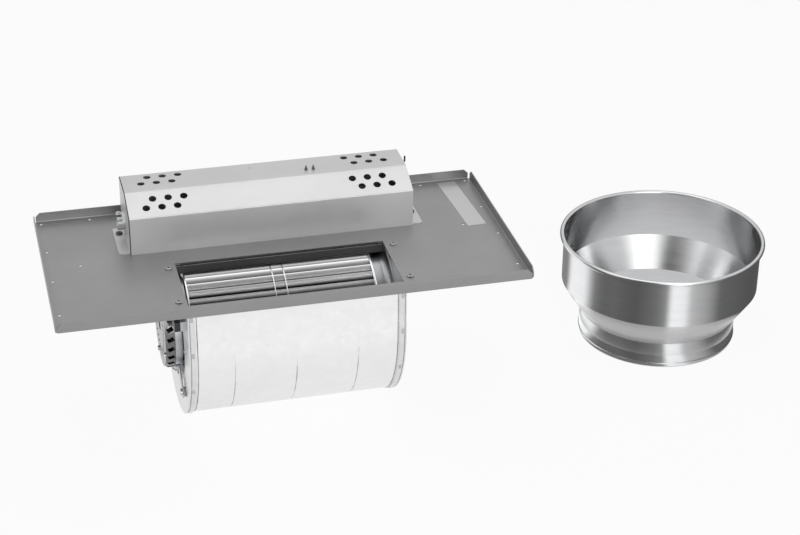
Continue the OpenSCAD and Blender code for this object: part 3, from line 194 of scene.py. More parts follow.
class Look(Graph):
    """A finish's material under construction, on one Principled surface."""

    def __init__(self, finish: "Finish") -> None:
        """Makes the material with the finish's constant settings."""
        self.material = bpy.data.materials.new(finish.name)
        super().__init__(self.material)
        self.roughness = finish.roughness
        self.coords = self.metres()
        self.surface = self.node(
            "BsdfPrincipled",
            {
                "Base Color": srgb(finish.colour),
                "Metallic": finish.metallic,
                "Roughness": finish.roughness,
            },
        )
        self.node("OutputMaterial", {"Surface": self.surface.outputs["BSDF"]})

    def put(self, name: str, value: object) -> None:
        """Sets or links one input of the surface."""
        self.feed(self.surface.inputs[name], value)

    def axis(self, name: str) -> Socket:
        """The place along one axis in metres."""
        return self.node("SeparateXYZ", {"Vector": self.coords}).outputs[name]

    def noise(
        self, grain_mm: float, detail: float = 2.0, rough: float = 0.5, coords: Socket | None = None
    ) -> Socket:
        """A soft noise whose blotches are about grain_mm across.

        Args:
            grain_mm: size of a blotch in millimetres.
            detail: octaves of finer noise.
            rough: share of each finer octave.
            coords: coordinates in metres, or none for the piece's own.

        Returns:
            The noise value.
        """
        inputs = {
            "Vector": self.coords if coords is None else coords,
            "Scale": 1.0 / (grain_mm * MM),
            "Detail": detail,
            "Roughness": rough,
        }
        return self.node("TexNoise", inputs).outputs[0]

    def blend(self, factor: Socket, dark: str, light: str) -> Socket:
        """A colour that runs between two hex colours with a pattern."""
        return self.ramp(factor, [(0.25, dark), (0.75, light)])

    def roughen(self, factor: Socket, less: float, more: float) -> None:
        """Lets the roughness swing round the finish's own with a pattern.

        Args:
            factor: pattern value from zero to one.
            less: how far the roughness falls where the pattern is low.
            more: how far it rises where it is high.
        """
        swing = (self.roughness - less, self.roughness + more)
        self.put("Roughness", self.remap(factor, (0.0, 1.0), swing))

    def bump(self, height: Socket, depth_mm: float, strength: float) -> None:
        """Raises the surface by a pattern.

        Args:
            height: pattern value from zero to one.
            depth_mm: height of the pattern in millimetres.
            strength: share of the full effect.
        """
        inputs = {"Height": height, "Distance": depth_mm * MM, "Strength": strength}
        self.put("Normal", self.node("Bump", inputs).outputs["Normal"])


# ---------------------------------------------------------------- finishes


@dataclass(frozen=True)
class Finish:
    """Base of all finishes: a Principled surface with a few constant settings."""

    name: str
    colour: str
    metallic: float = 0.0
    roughness: float = 0.5

    def pattern(self, look: Look) -> None:
        """Draws the finish's own pattern into its surface."""
        raise NotImplementedError

    def build(self) -> bpy.types.Material:
        """Makes the material."""
        look = Look(self)
        self.pattern(look)
        return look.material


@dataclass(frozen=True)
class SatinPaint(Finish):
    """Stoved satin enamel on sheet steel: flat colour with a faint orange peel and soft gloss."""

    dark: str = "#9a9c9f"
    light: str = "#a4a6a9"
    drift_mm: float = 90.0
    patch_mm: float = 14.0
    # the real peel is about 0.3 mm; it is drawn coarser so that it shows
    peel_mm: float = 1.6
    # painted shadow line at an open sheet edge: everything left of this x is painted dark, or none
    shadow_line_x_mm: float = 0.0
    shadow_line: str = "#2e2e2e"

    def pattern(self, look: Look) -> None:
        """Paint: slow tone drift, fine peel in the bump, small changes in gloss, and a painted
        shadow line where one is set.
        """
        tone = look.blend(look.noise(self.drift_mm, 3.0), self.dark, self.light)
        # painted shadow: left of the line the paint's tone gives way to the dark colour
        if self.shadow_line_x_mm:
            past = look.math("LESS_THAN", look.axis("X"), self.shadow_line_x_mm * MM)
            # sockets of the colour mix: 0 share, 6 and 7 the two colours, 2 the result
            inputs = {0: past, 6: tone, 7: srgb(self.shadow_line)}
            tone = look.node("Mix", inputs, data_type="RGBA").outputs[2]
        look.put("Base Color", tone)
        look.roughen(look.noise(self.patch_mm, 4.0, 0.6), 0.05, 0.06)
        look.bump(look.noise(self.peel_mm, 1.0), 0.02, 0.5)


@dataclass(frozen=True)
class Galvanised(Finish):
    """Hot-dip galvanised sheet: near-white zinc in small crystals, each a shade apart."""

    dark: str = "#dadada"
    light: str = "#e6e6e6"
    # painted shade darkens the zinc towards these: in creases, at the duct mouth and in bands
    painted_shade: str = "#a4a4a4"
    black: str = "#3a3a3a"
    crystal_mm: float = 7.0
    crystal_tone: float = 0.1
    cloud_mm: float = 45.0
    dent_mm: float = 5.0
    # painted shade along creases in the strip: their pitch across it, or none, and their half width
    crease_mm: float = 0.0
    crease_half_mm: float = 1.3
    # heights where a crease starts and is full, from above and from below, and its rear end
    crease_rises_mm: Tones = ((-48.0, -120.0), (-199.0, -150.0))
    crease_y_mm: float = -40.0
    # painted shade at the rear of the duct mouth: everything above this height, behind this y
    mouth_z_mm: float = -4.0
    mouth_y_mm: float = -20.0
    # how far the painted shade in a crease and at the duct mouth darkens the zinc
    crease_depth: float = 0.75
    mouth_depth: float = 2.0
    # bands of painted shade on both sides: their middle, how far off it they lie, reach and depth
    band_mid_mm: float = 1.7
    band_half_mm: float = 0.0
    band_reach_mm: float = 0.5
    band_depth: float = 1.0

    def painted_shade_bands(self, look: Look) -> Socket:
        """The painted shade's depth in the two bands, else zero."""
        away = look.math("ABSOLUTE", look.math("SUBTRACT", look.axis("X"), self.band_mid_mm * MM))
        band = look.math("COMPARE", away, self.band_half_mm * MM, self.band_reach_mm * MM)
        return look.math("MULTIPLY", band, self.band_depth)

    def creases(self, look: Look) -> Socket:
        """How far painted shade darkens a spot in the creases and at the rear of the duct mouth.

        A crease is full where the distance to the nearest multiple of the pitch is zero, and
        fades with that distance and towards its ends.

        Args:
            look: the material.

        Returns:
            The depth.
        """
        away = look.math("PINGPONG", look.axis("X"), self.crease_mm * MM / 2)
        near = look.remap(away, (0.0, self.crease_half_mm * MM), (1.0, 0.0), "SMOOTHSTEP")
        rises = [
            look.remap(look.axis("Z"), (start * MM, full * MM), (0.0, 1.0), "SMOOTHSTEP")
            for start, full in self.crease_rises_mm
        ]
        fore = look.math("LESS_THAN", look.axis("Y"), self.crease_y_mm * MM)
        faint = rises[0]
        for share in (rises[1], fore, near, self.crease_depth):
            faint = look.math("MULTIPLY", faint, share)
        high = look.math("GREATER_THAN", look.axis("Z"), self.mouth_z_mm * MM)
        behind = look.math("GREATER_THAN", look.axis("Y"), self.mouth_y_mm * MM)
        deep = look.math("MULTIPLY", look.math("MULTIPLY", high, behind), self.mouth_depth)
        return look.math("ADD", faint, deep)

    def pattern(self, look: Look) -> None:
        """Zinc: crystal cells change tone and gloss, over a slow cloudiness and rolling lines;
        painted shade darkens the creases, the bands and the duct mouth.
        """
        inputs = {"Vector": look.coords, "Scale": 1.0 / (self.crystal_mm * MM)}
        cells = look.node("TexVoronoi", inputs)
        shade = look.node("SeparateColor", {"Color": cells.outputs["Color"]}).outputs
        swing = look.remap(shade["Red"], (0.0, 1.0), (-self.crystal_tone, self.crystal_tone))
        total = look.math("ADD", look.noise(self.cloud_mm, 4.0, 0.6), swing)
        # painted shade: the creases, the duct mouth and the bands lower the tone towards the dark
        # stops
        if self.crease_mm:
            total = look.math("SUBTRACT", total, self.creases(look))
        if self.band_half_mm:
            total = look.math("SUBTRACT", total, self.painted_shade_bands(look))
        stops = [(0.05, self.black), (0.35, self.painted_shade), (0.60, self.dark), (0.87, self.light)]
        look.put("Base Color", look.ramp(look.remap(total, (-1.0, 1.0), (0.0, 1.0)), stops))
        look.roughen(shade["Green"], 0.05, 0.07)
        look.bump(look.noise(self.dent_mm), 0.03, 0.35)


@dataclass(frozen=True)
class PlatedSteel(Finish):
    """Bright zinc-plated small parts: smooth metal with a faint cool tint."""

    grain_mm: float = 3.0
    dimple: float = 0.12
    dimple_mm: float = 0.8

    def pattern(self, look: Look) -> None:
        """Plating: nearly even, with a little change in gloss."""
        look.roughen(look.noise(self.grain_mm, 3.0), 0.04, 0.08)
        look.bump(look.noise(self.dimple_mm, 1.0), 0.01, self.dimple)


@dataclass(frozen=True)
class BladeSteel(Finish):
    """Pre-plated blade strip: its own bright tone at the rim of the wheel, darkened by painted
    shade towards its axis.
    """

    axis_yz_mm: tuple[float, float] = (-1.8, -82.5)
    # painted shade: full at the first radius, gone at the second
    darkest_r_mm: float = 60.5
    unshaded_r_mm: float = 65.9
    painted_shade: str = "#262626"
    cloud_mm: float = 10.0

    def pattern(self, look: Look) -> None:
        """Strip: painted shade, the tone grows with the distance from the wheel's axis."""
        y, z = (value * MM for value in self.axis_yz_mm)
        flat = look.node("CombineXYZ", {"Y": look.axis("Y"), "Z": look.axis("Z")})
        ends = {0: flat.outputs["Vector"], 1: (0.0, y, z)}
        arm = look.node("VectorMath", ends, operation="DISTANCE").outputs["Value"]
        place = look.remap(arm, (self.darkest_r_mm * MM, self.unshaded_r_mm * MM), (0.0, 1.0))
        look.put("Base Color", look.ramp(place, [(0.0, self.painted_shade), (1.0, self.colour)]))
        look.roughen(look.noise(self.cloud_mm), 0.02, 0.04)


@dataclass(frozen=True)
class SpunSteel(Finish):
    """Satin steel brushed round a vertical axis: sharp bands round the piece, blurred along it."""

    dark: str = "#c0c1c2"
    light: str = "#cccccd"
    # height of the streaks; the real grit lines are finer
    streak_mm: float = 0.7
    wide_mm: float = 7.0

    def pattern(self, look: Look) -> None:
        """Brushing: fine streaks round the axis in tone, gloss and bump."""
        look.put("Anisotropic", 0.75)
        # a quarter turn: the reflection is drawn out across the brushing lines
        look.put("Anisotropic Rotation", 0.25)
        tangent = look.node("Tangent", direction_type="RADIAL", axis="Z")
        look.put("Tangent", tangent.outputs["Tangent"])
        # streaks some 60 mm long: the pattern is squeezed along X and Y
        streak = look.noise(self.streak_mm, 3.0, 0.7, look.metres((0.012, 0.012, 1.0)))
        wide = look.noise(self.wide_mm, 3.0, 0.6, look.metres((0.2, 0.2, 1.0)))
        both = look.math("MULTIPLY", look.math("ADD", streak, wide), 0.5)
        look.put("Base Color", look.blend(both, self.dark, self.light))
        look.roughen(streak, 0.06, 0.08)
        look.bump(streak, 0.02, 0.25)


@dataclass(frozen=True)
class StackedSteel(Finish):
    """Core sheets stacked along the motor's axis, with thin dark lines between them."""

    # real sheets of 0.5 mm are drawn coarser
    sheet_mm: float = 1.4
    joint: str = "#4a4a4c"

    def pattern(self, look: Look) -> None:
        """Stack: dark joints every sheet."""
        lines = look.node(
            "TexWave",
            {"Vector": look.coords, "Scale": WAVE_PITCH / (self.sheet_mm * MM), "Distortion": 0.0},
            wave_type="BANDS",
            bands_direction="X",
            wave_profile="SIN",
        ).outputs["Fac"]
        look.put("Base Color", look.ramp(lines, [(0.15, self.joint), (0.45, self.colour)]))
        look.bump(lines, 0.1, 0.5)


@dataclass(frozen=True)
class EnamelWire(Finish):
    """Enamelled copper wire wound in neat turns: glossy brown-orange with dark gaps."""

    wire_mm: float = 1.1
    dark: str = "#2c1a12"
    light: str = "#5d3420"

    def pattern(self, look: Look) -> None:
        """Turns: streaks along the winding in colour and bump."""
        strands = look.noise(self.wire_mm, 1.0)
        look.put("Base Color", look.blend(strands, self.dark, self.light))
        look.bump(strands, 0.3, 0.6)


@dataclass(frozen=True)
class Moulding(Finish):
    """Moulded plastic or rubber: even colour, faint mould grain."""

    grain_mm: float = 0.9
    cloud_mm: float = 6.0

    def pattern(self, look: Look) -> None:
        """Moulding: slight change in gloss and a fine pebbled bump."""
        look.roughen(look.noise(self.cloud_mm), 0.06, 0.06)
        look.bump(look.noise(self.grain_mm, 1.0), 0.03, 0.4)


@dataclass(frozen=True)
class BoardLaminate(Finish):
    """Glass-fibre board with solder mask: green, with lighter copper runs under the mask."""

    run_mm: float = 5.0
    dark: str = "#1d4a30"
    light: str = "#2e6a45"

    def pattern(self, look: Look) -> None:
        """Board: blocky lighter runs over the green."""
        inputs = {"Vector": look.coords, "Scale": 1.0 / (self.run_mm * MM)}
        runs = look.node("TexVoronoi", inputs, distance="CHEBYCHEV")
        look.put("Base Color", look.blend(runs.outputs["Distance"], self.dark, self.light))


@dataclass(frozen=True)
class FoilLabel(Finish):
    """Bare silver polyester foil: smooth, slightly dimpled, with soft waves."""

    wave_mm: float = 12.0

    def pattern(self, look: Look) -> None:
        """Foil: soft low waves from the adhesive beneath."""
        wave = look.noise(self.wave_mm, 3.0)
        look.roughen(wave, 0.08, 0.1)
        look.bump(wave, 0.08, 0.4)


# the control box's enamel: colour, metallic, roughness, and its dark and light tone
SILVER = ("#c9c9c9", 0.65, 0.42, "#c5c5c5", "#cccccc")

FINISHES: dict[str, Finish] = {
    # grey satin enamel on the tray sheet
    "plate_paint": SatinPaint("grey_satin_enamel", "#959595", 0.85, 0.4, "#8f8f8f", "#979797"),
    # silver enamel on the control box, a little metallic flake
    "box_paint": SatinPaint("silver_satin_enamel", *SILVER),
    # the cover's enamel carries a painted shadow line along its open left edge
    "cover_paint": SatinPaint("silver_cover_enamel", *SILVER, shadow_line_x_mm=-173.1),
    "foil": FoilLabel("bare_silver_foil", "#bdbdbd", 0.9, 0.32),
    # painted shade on the side plates' inner faces
    "galvanised": Galvanised(
        "galvanised_sheet", "#dcdcdc", 1.0, 0.36, "#d4d4d4", "#e0e0e0", band_half_mm=127.7
    ),
    # painted contact shadow along both rims of the strip, and painted shade in its creases and at
    # the duct mouth
    "strip": Galvanised(
        "galvanised_strip",
        "#ebebeb",
        1.0,
        0.42,
        "#e9e9e9",
        "#eeeeee",
        crease_mm=74.0,
        band_half_mm=119.6,
        band_reach_mm=0.6,
        band_depth=0.95,
    ),
    "zinc_plated": PlatedSteel("zinc_plated_steel", "#b9bbbd", 1.0, 0.3),
    "screw_steel": PlatedSteel("machine_screw_steel", "#9a9b9c", 1.0, 0.2),
    "dark_screw": PlatedSteel("phosphated_screw_steel", "#4e4f50", 1.0, 0.3),
    "die_cast": PlatedSteel("die_cast_zinc", "#c2c3c4", 1.0, 0.4, 1.2),
    # the cutoff lip: galvanised steel painted dark as painted shade
    "shaded_lip_steel": PlatedSteel("unlit_galvanised_lip", "#6c6d6e", 1.0, 0.45),
    "ring_grey": PlatedSteel("inlet_ring_steel", "#97989a", 1.0, 0.3, 9.0, 0.0),
    "ring_steel": PlatedSteel("pressed_ring_steel", "#d2d3d4", 1.0, 0.25, 9.0, 0.0),
    "motor_steel": PlatedSteel("motor_shell_steel", "#717171", 1.0, 0.2, 8.0, 0.25),
    "core_steel": StackedSteel("stacked_core_steel", "#8d8f92", 0.8, 0.45),
    # blade steel with painted shade towards the wheel's axis
    "wheel_steel": BladeSteel("blade_strip_steel", "#dedede", 1.0, 0.3),
    "reducer_steel": SpunSteel("satin_spun_steel", "#c4c5c7", 1.0, 0.2),
    "copper": EnamelWire("varnished_copper_wire", "#4a2a1a", 0.3, 0.35),
    # sintered bronze of the sleeve bearings
    "bronze": PlatedSteel("sintered_bronze", "#9b7446", 1.0, 0.4),
    "black_plastic": Moulding("black_nylon", "#202124", 0.0, 0.45),
    "white_plastic": Moulding("white_nylon", "#e4e2dc", 0.0, 0.4),
    "grey_rubber": Moulding("grey_rubber", "#a2a3a4", 0.0, 0.6, 1.4),
    "black_rubber": Moulding("black_rubber", "#1a1b1c", 0.0, 0.6, 1.4),
    "board": BoardLaminate("solder_masked_board", "#245a3a", 0.0, 0.4),
}


class Wardrobe:
    """Makes each finish once, when a piece first asks for it."""

    def __init__(self) -> None:
        """Starts with no material made."""
        self.made: dict[str, bpy.types.Material] = {}

    def put_on(self, piece: bpy.types.Object, finish: str) -> None:
        """Dresses a piece in a finish.

        Args:
            piece: the object.
            finish: a name in FINISHES.
        """
        if finish not in self.made:
            self.made[finish] = FINISHES[finish].build()
        piece.data.materials.clear()
        piece.data.materials.append(self.made[finish])

    def dress(self, solids: dict[str, str]) -> None:
        """Gives carried-over solids their finish.

        Args:
            solids: name of a finish, and the names of its nodes with blanks between them.
        """
        for finish, nodes in solids.items():
            for name in nodes.split():
                self.put_on(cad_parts[name], finish)


WARDROBE = Wardrobe()


# ---------------------------------------------------------------- mesh making


def add_object(name: str, data: bpy.types.ID) -> bpy.types.Object:
    """Puts a mesh, lamp or camera into the scene."""
    thing = bpy.data.objects.new(name, data)
    bpy.context.scene.collection.objects.link(thing)
    return thing


def new_piece(
    name: str,
    shape: Shape,
    finish: str,
    *nodes: str,
    body: Body = Body.HOUSING,
    smooth_deg: float = 35.0,
) -> None:
    """Makes a closed piece from points and faces, in place of one or more nodes.

    Args:
        name: name of the piece.
        shape: n by 3 array in millimetres, and the vertex numbers of each face.
        finish: a name in FINISHES.
        nodes: the nodes that it stands for.
        body: what it rides on.
        smooth_deg: edges sharper than this stay sharp.
    """
    points, faces = shape
    mesh = bpy.data.meshes.new(name)
    mesh.from_pydata((points * MM).tolist(), [], [list(map(int, f)) for f in faces])
    work = bmesh.new()
    work.from_mesh(mesh)
    bmesh.ops.remove_doubles(work, verts=work.verts, dist=WELD_M)
    bmesh.ops.recalc_face_normals(work, faces=work.faces)
    work.to_mesh(mesh)
    work.free()
    mesh.polygons.foreach_set("use_smooth", np.ones(len(mesh.polygons), bool))
    mesh.set_sharp_from_angle(angle=math.radians(smooth_deg))
    piece = add_object(name, mesh)
    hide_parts(*nodes)
    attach(piece, body.value)
    WARDROBE.put_on(piece, finish)
    log.info("%s: %d faces", name, len(mesh.polygons))


def grid_faces(rows: int, columns: int, wrap_rows: bool, wrap_columns: bool) -> np.ndarray:
    """Four-sided faces of a grid of points, rows by columns, closed round where asked.

    Args:
        rows: number of rows of points.
        columns: number of points in a row.
        wrap_rows: last row joins the first.
        wrap_columns: last column joins the first.

    Returns:
        n by 4 array of vertex numbers.
    """
    r = np.arange(rows if wrap_rows else rows - 1)
    c = np.arange(columns if wrap_columns else columns - 1)
    rr, cc = np.meshgrid(r, c, indexing="ij")
    r2, c2 = (rr + 1) % rows, (cc + 1) % columns
    at, below = rr * columns, r2 * columns
    return np.stack([at + cc, at + c2, below + c2, below + cc], -1).reshape(-1, 4)


def joined(parts: list[Shape]) -> Shape:
    """Puts several shapes into one, each face list moved on by the points before.

    Args:
        parts: points and faces of each part.

    Returns:
        All points and all faces.
    """
    points = np.concatenate([part[0] for part in parts])
    starts = np.cumsum([0] + [len(part[0]) for part in parts[:-1]])
    faces = [[int(v) + int(at) for v in face] for (_, fs), at in zip(parts, starts) for face in fs]
    return points, faces


def bezier(points: np.ndarray, count: int) -> np.ndarray:
    """Points on the cubic through four control points: the Bernstein sum of the controls.

    Args:
        points: 4 by 3 control points.
        count: number of points wanted.

    Returns:
        count by 3 array.
    """
    t = np.linspace(0.0, 1.0, count)[:, None]
    s = 1.0 - t
    a, b, c, d = points
    return s**3 * a + 3 * s * s * t * b + 3 * s * t * t * c + t**3 * d


def tube(path: np.ndarray, radius: float, sides: int) -> Shape:
    """A round tube: a circle carried along the path in a frame that turns as little as it can.

    Args:
        path: n by 3 points of the centreline.
        radius: tube radius.
        sides: points round the circle.

    Returns:
        Points and faces, with flat caps.
    """
    along = np.gradient(path, axis=0)
    along /= np.linalg.norm(along, axis=1)[:, None]
    side = np.cross(along[0], [0.0, 1.0, 0.0])
    nearly_parallel = 0.3
    if np.linalg.norm(side) < nearly_parallel:
        side = np.cross(along[0], [1.0, 0.0, 0.0])
    sides_at = []
    for direction in along:
        side = side - direction * np.dot(side, direction)
        side = side / np.linalg.norm(side)
        sides_at.append(side)
    u = np.array(sides_at)
    w = np.cross(along, u)
    angle = np.linspace(0.0, 2 * math.pi, sides, endpoint=False)[None, :, None]
    spoke = np.cos(angle) * u[:, None, :] + np.sin(angle) * w[:, None, :]
    ring = path[:, None, :] + radius * spoke
    faces = grid_faces(len(path), sides, False, True).tolist()
    last = (len(path) - 1) * sides
    return ring.reshape(-1, 3), [*faces, list(range(sides)), list(range(last, last + sides))]


def fold_path(
    corners: list[tuple[float, float]], radii: list[float]
) -> tuple[np.ndarray, np.ndarray, np.ndarray]:
    """The middle line of a folded sheet: straight runs joined by arcs tangent to both.

    Args:
        corners: points of the profile, ends included.
        radii: bend radius at each inner corner.

    Returns:
        Points of the line, its unit normals, and the length of sheet up to each point.
    """
    points = [np.array(corners[0], float)]
    normals = []
    for before, corner, after, radius in zip(corners, corners[1:], corners[2:], radii):
        d1 = np.subtract(corner, before) / np.linalg.norm(np.subtract(corner, before))
        d2 = np.subtract(after, corner) / np.linalg.norm(np.subtract(after, corner))
        turn = math.atan2(d1[0] * d2[1] - d1[1] * d2[0], float(d1 @ d2))
        left = np.array([-d1[1], d1[0]])
        start = np.array(corner) - d1 * radius * math.tan(abs(turn) / 2)
        centre = start + left * math.copysign(radius, turn)
        sag_step = min(2 * math.acos(1 - SAG_MM / max(radius, 2 * SAG_MM)), MAX_BEND_STEP)
        angle = np.linspace(0.0, turn, max(2, math.ceil(abs(turn) / sag_step)) + 1)[:, None]
        spoke = start - centre
        across = np.array([-spoke[1], spoke[0]])
        points.extend(centre + np.cos(angle) * spoke + np.sin(angle) * across)
        normals.extend(np.cos(angle) * left + np.sin(angle) * np.array([-left[1], left[0]]))
    points.append(np.array(corners[-1], float))
    line = np.array(points)
    normal = np.array([normals[0], *normals, normals[-1]])
    station = np.concatenate([[0.0], np.cumsum(np.linalg.norm(np.diff(line, axis=0), axis=1))])
    return line, normal, station


def circle_loop(u: float, v: float, radius: float, sides: int = 28) -> np.ndarray:
    """A round hole in the flat sheet."""
    angle = np.linspace(0.0, 2 * math.pi, sides, endpoint=False)
    return np.column_stack([u + radius * np.cos(angle), v + radius * np.sin(angle)])


def box_loop(u0: float, v0: float, u1: float, v1: float) -> np.ndarray:
    """A rectangular hole or outline in the flat sheet."""
    return np.array([[u0, v0], [u1, v0], [u1, v1], [u0, v1]], float)


def inside(spots: np.ndarray, loop: np.ndarray) -> np.ndarray:
    """Tells which spots lie in a loop: an odd number of its edges lies to their right.

    Args:
        spots: n by 2 array.
        loop: corners of the closed loop.

    Returns:
        n truth values.
    """
    a, b = loop, np.roll(loop, -1, axis=0)
    x, y = spots[:, :1], spots[:, 1:]
    spans = (a[:, 1] > y) != (b[:, 1] > y)
    rise = np.where(b[:, 1] == a[:, 1], 1.0, b[:, 1] - a[:, 1])
    cross = a[:, 0] + (y - a[:, 1]) * (b[:, 0] - a[:, 0]) / rise
    return (np.sum(spans & (x < cross), axis=1) % 2).astype(bool)


def folded_sheet(
    loops: list[np.ndarray],
    lines: list[tuple[float, float, float, float]],
    fold: MapSheet,
    thickness: float,
) -> Shape:
    """Cuts a sheet flat, with its holes, and folds it: the way that the real piece is made.

    The flat outline is triangulated with lines along and across its bends. Then each point is
    carried to the folded middle surface, and half a thickness to either side along the normal.

    Args:
        loops: the flat outline and then its holes.
        lines: extra lines that the triangles keep to, as two ends each.
        fold: takes flat points to places and unit normals.
        thickness: sheet thickness.

    Returns:
        Points and faces of the closed sheet.
    """
    spots = [tuple(p) for loop in loops for p in loop]
    edges = []
    for loop in loops:
        at = len(edges)
        edges.extend((at + k, at + (k + 1) % len(loop)) for k in range(len(loop)))
    for u0, v0, u1, v1 in lines:
        edges.append((len(spots), len(spots) + 1))
        spots.extend([(u0, v0), (u1, v1)])
    found, _, faces, *_ = delaunay_2d_cdt([Vector(p) for p in spots], edges, [], 0, SAG_MM / 100)
    flat = np.array([tuple(p) for p in found])
    triangles = np.array([tuple(f) for f in faces])
    middle = flat[triangles].mean(axis=1)
    keep = inside(middle, loops[0])
    for hole in loops[1:]:
        keep &= ~inside(middle, hole)
    triangles = triangles[keep]
    used = np.unique(triangles)
    triangles = np.searchsorted(used, triangles)
    place, normal = fold(flat[used])
    count = len(used)
    points = np.concatenate([place + normal * thickness / 2, place - normal * thickness / 2])
    # the rim: edges that belong to one triangle only
    pairs = np.concatenate([triangles[:, [k, (k + 1) % 3]] for k in range(3)])
    ordered = np.sort(pairs, axis=1)
    _, back, number = np.unique(ordered, axis=0, return_inverse=True, return_counts=True)
    rim = pairs[number[back.ravel()] == 1]
    walls = np.column_stack([rim[:, 0] + count, rim[:, 1] + count, rim[:, 1], rim[:, 0]])
    return points, [*triangles.tolist(), *(triangles[:, ::-1] + count).tolist(), *walls.tolist()]


def turned(profile: np.ndarray, angle: np.ndarray) -> np.ndarray:
    """Turns a profile round the Z axis: r cos a, r sin a and the height at each angle a.

    Args:
        profile: n by 2 array of radius and height.
        angle: the angles.

    Returns:
        Places, as angles by n by 3.
    """
    height = np.broadcast_to(profile[:, 1], (len(angle), len(profile)))
    round_x, round_y = np.cos(angle), np.sin(angle)
    radius = profile[:, 0]
    return np.stack([np.outer(round_x, radius), np.outer(round_y, radius), height], -1)


@dataclass(frozen=True)
class PanScrew:
    """A pan-head screw that stands on its seat. Sizes are millimetres."""

    head_r: float = 4.2
    head_h: float = 2.2
    shank_r: float = 2.1
    shank_l: float = 5.0
    # shares of the head: the dome's height, where its curve ends, and the recess's half
    # width, reach and depth
    dome: float = 0.65
    edge: float = 0.96
    arm: float = 1 / 9
    reach: float = 0.52
    sunk: float = 0.5
    sides: int = 40
    rings: int = 15

    def shape(self, at: Point) -> Shape:
        """The screw, with a cross recess sunk into a domed top.

        The top is a polar grid of height h (1 - d + d sqrt(1 - (r/R)^4)), less the recess
        where either arm of the cross covers the point; the head's side and the shank follow
        as further rings.

        Args:
            at: centre of the head's seat.

        Returns:
            Points and faces.
        """
        radii = self.head_r * np.linspace(0.04, 1.0, self.rings)
        curve = np.sqrt(1 - (radii / self.head_r * self.edge) ** 4)
        heights = self.head_h * (1 - self.dome + self.dome * curve)
        under = [
            (self.head_r, 0.0),
            (self.shank_r, 0.0),
            (self.shank_r, -self.shank_l),
            (self.shank_r / 8, -self.shank_l),
        ]
        profile = np.concatenate([np.column_stack([radii, heights]), np.array(under)])
        grid = turned(profile, np.linspace(0.0, 2 * math.pi, self.sides, endpoint=False))
        x, y, z = (grid[..., k] for k in range(3))
        arm = self.head_r * self.arm
        cross = (np.abs(x) < arm) | (np.abs(y) < arm)
        cross &= (np.hypot(x, y) < self.head_r * self.reach) & (z > 0)
        grid[..., 2] -= np.where(cross, self.head_h * self.sunk, 0.0)
        faces = grid_faces(self.sides, len(profile), True, True).tolist()
        return grid.reshape(-1, 3) + np.array(at), faces


# ---------------------------------------------------------------- sub-assemblies


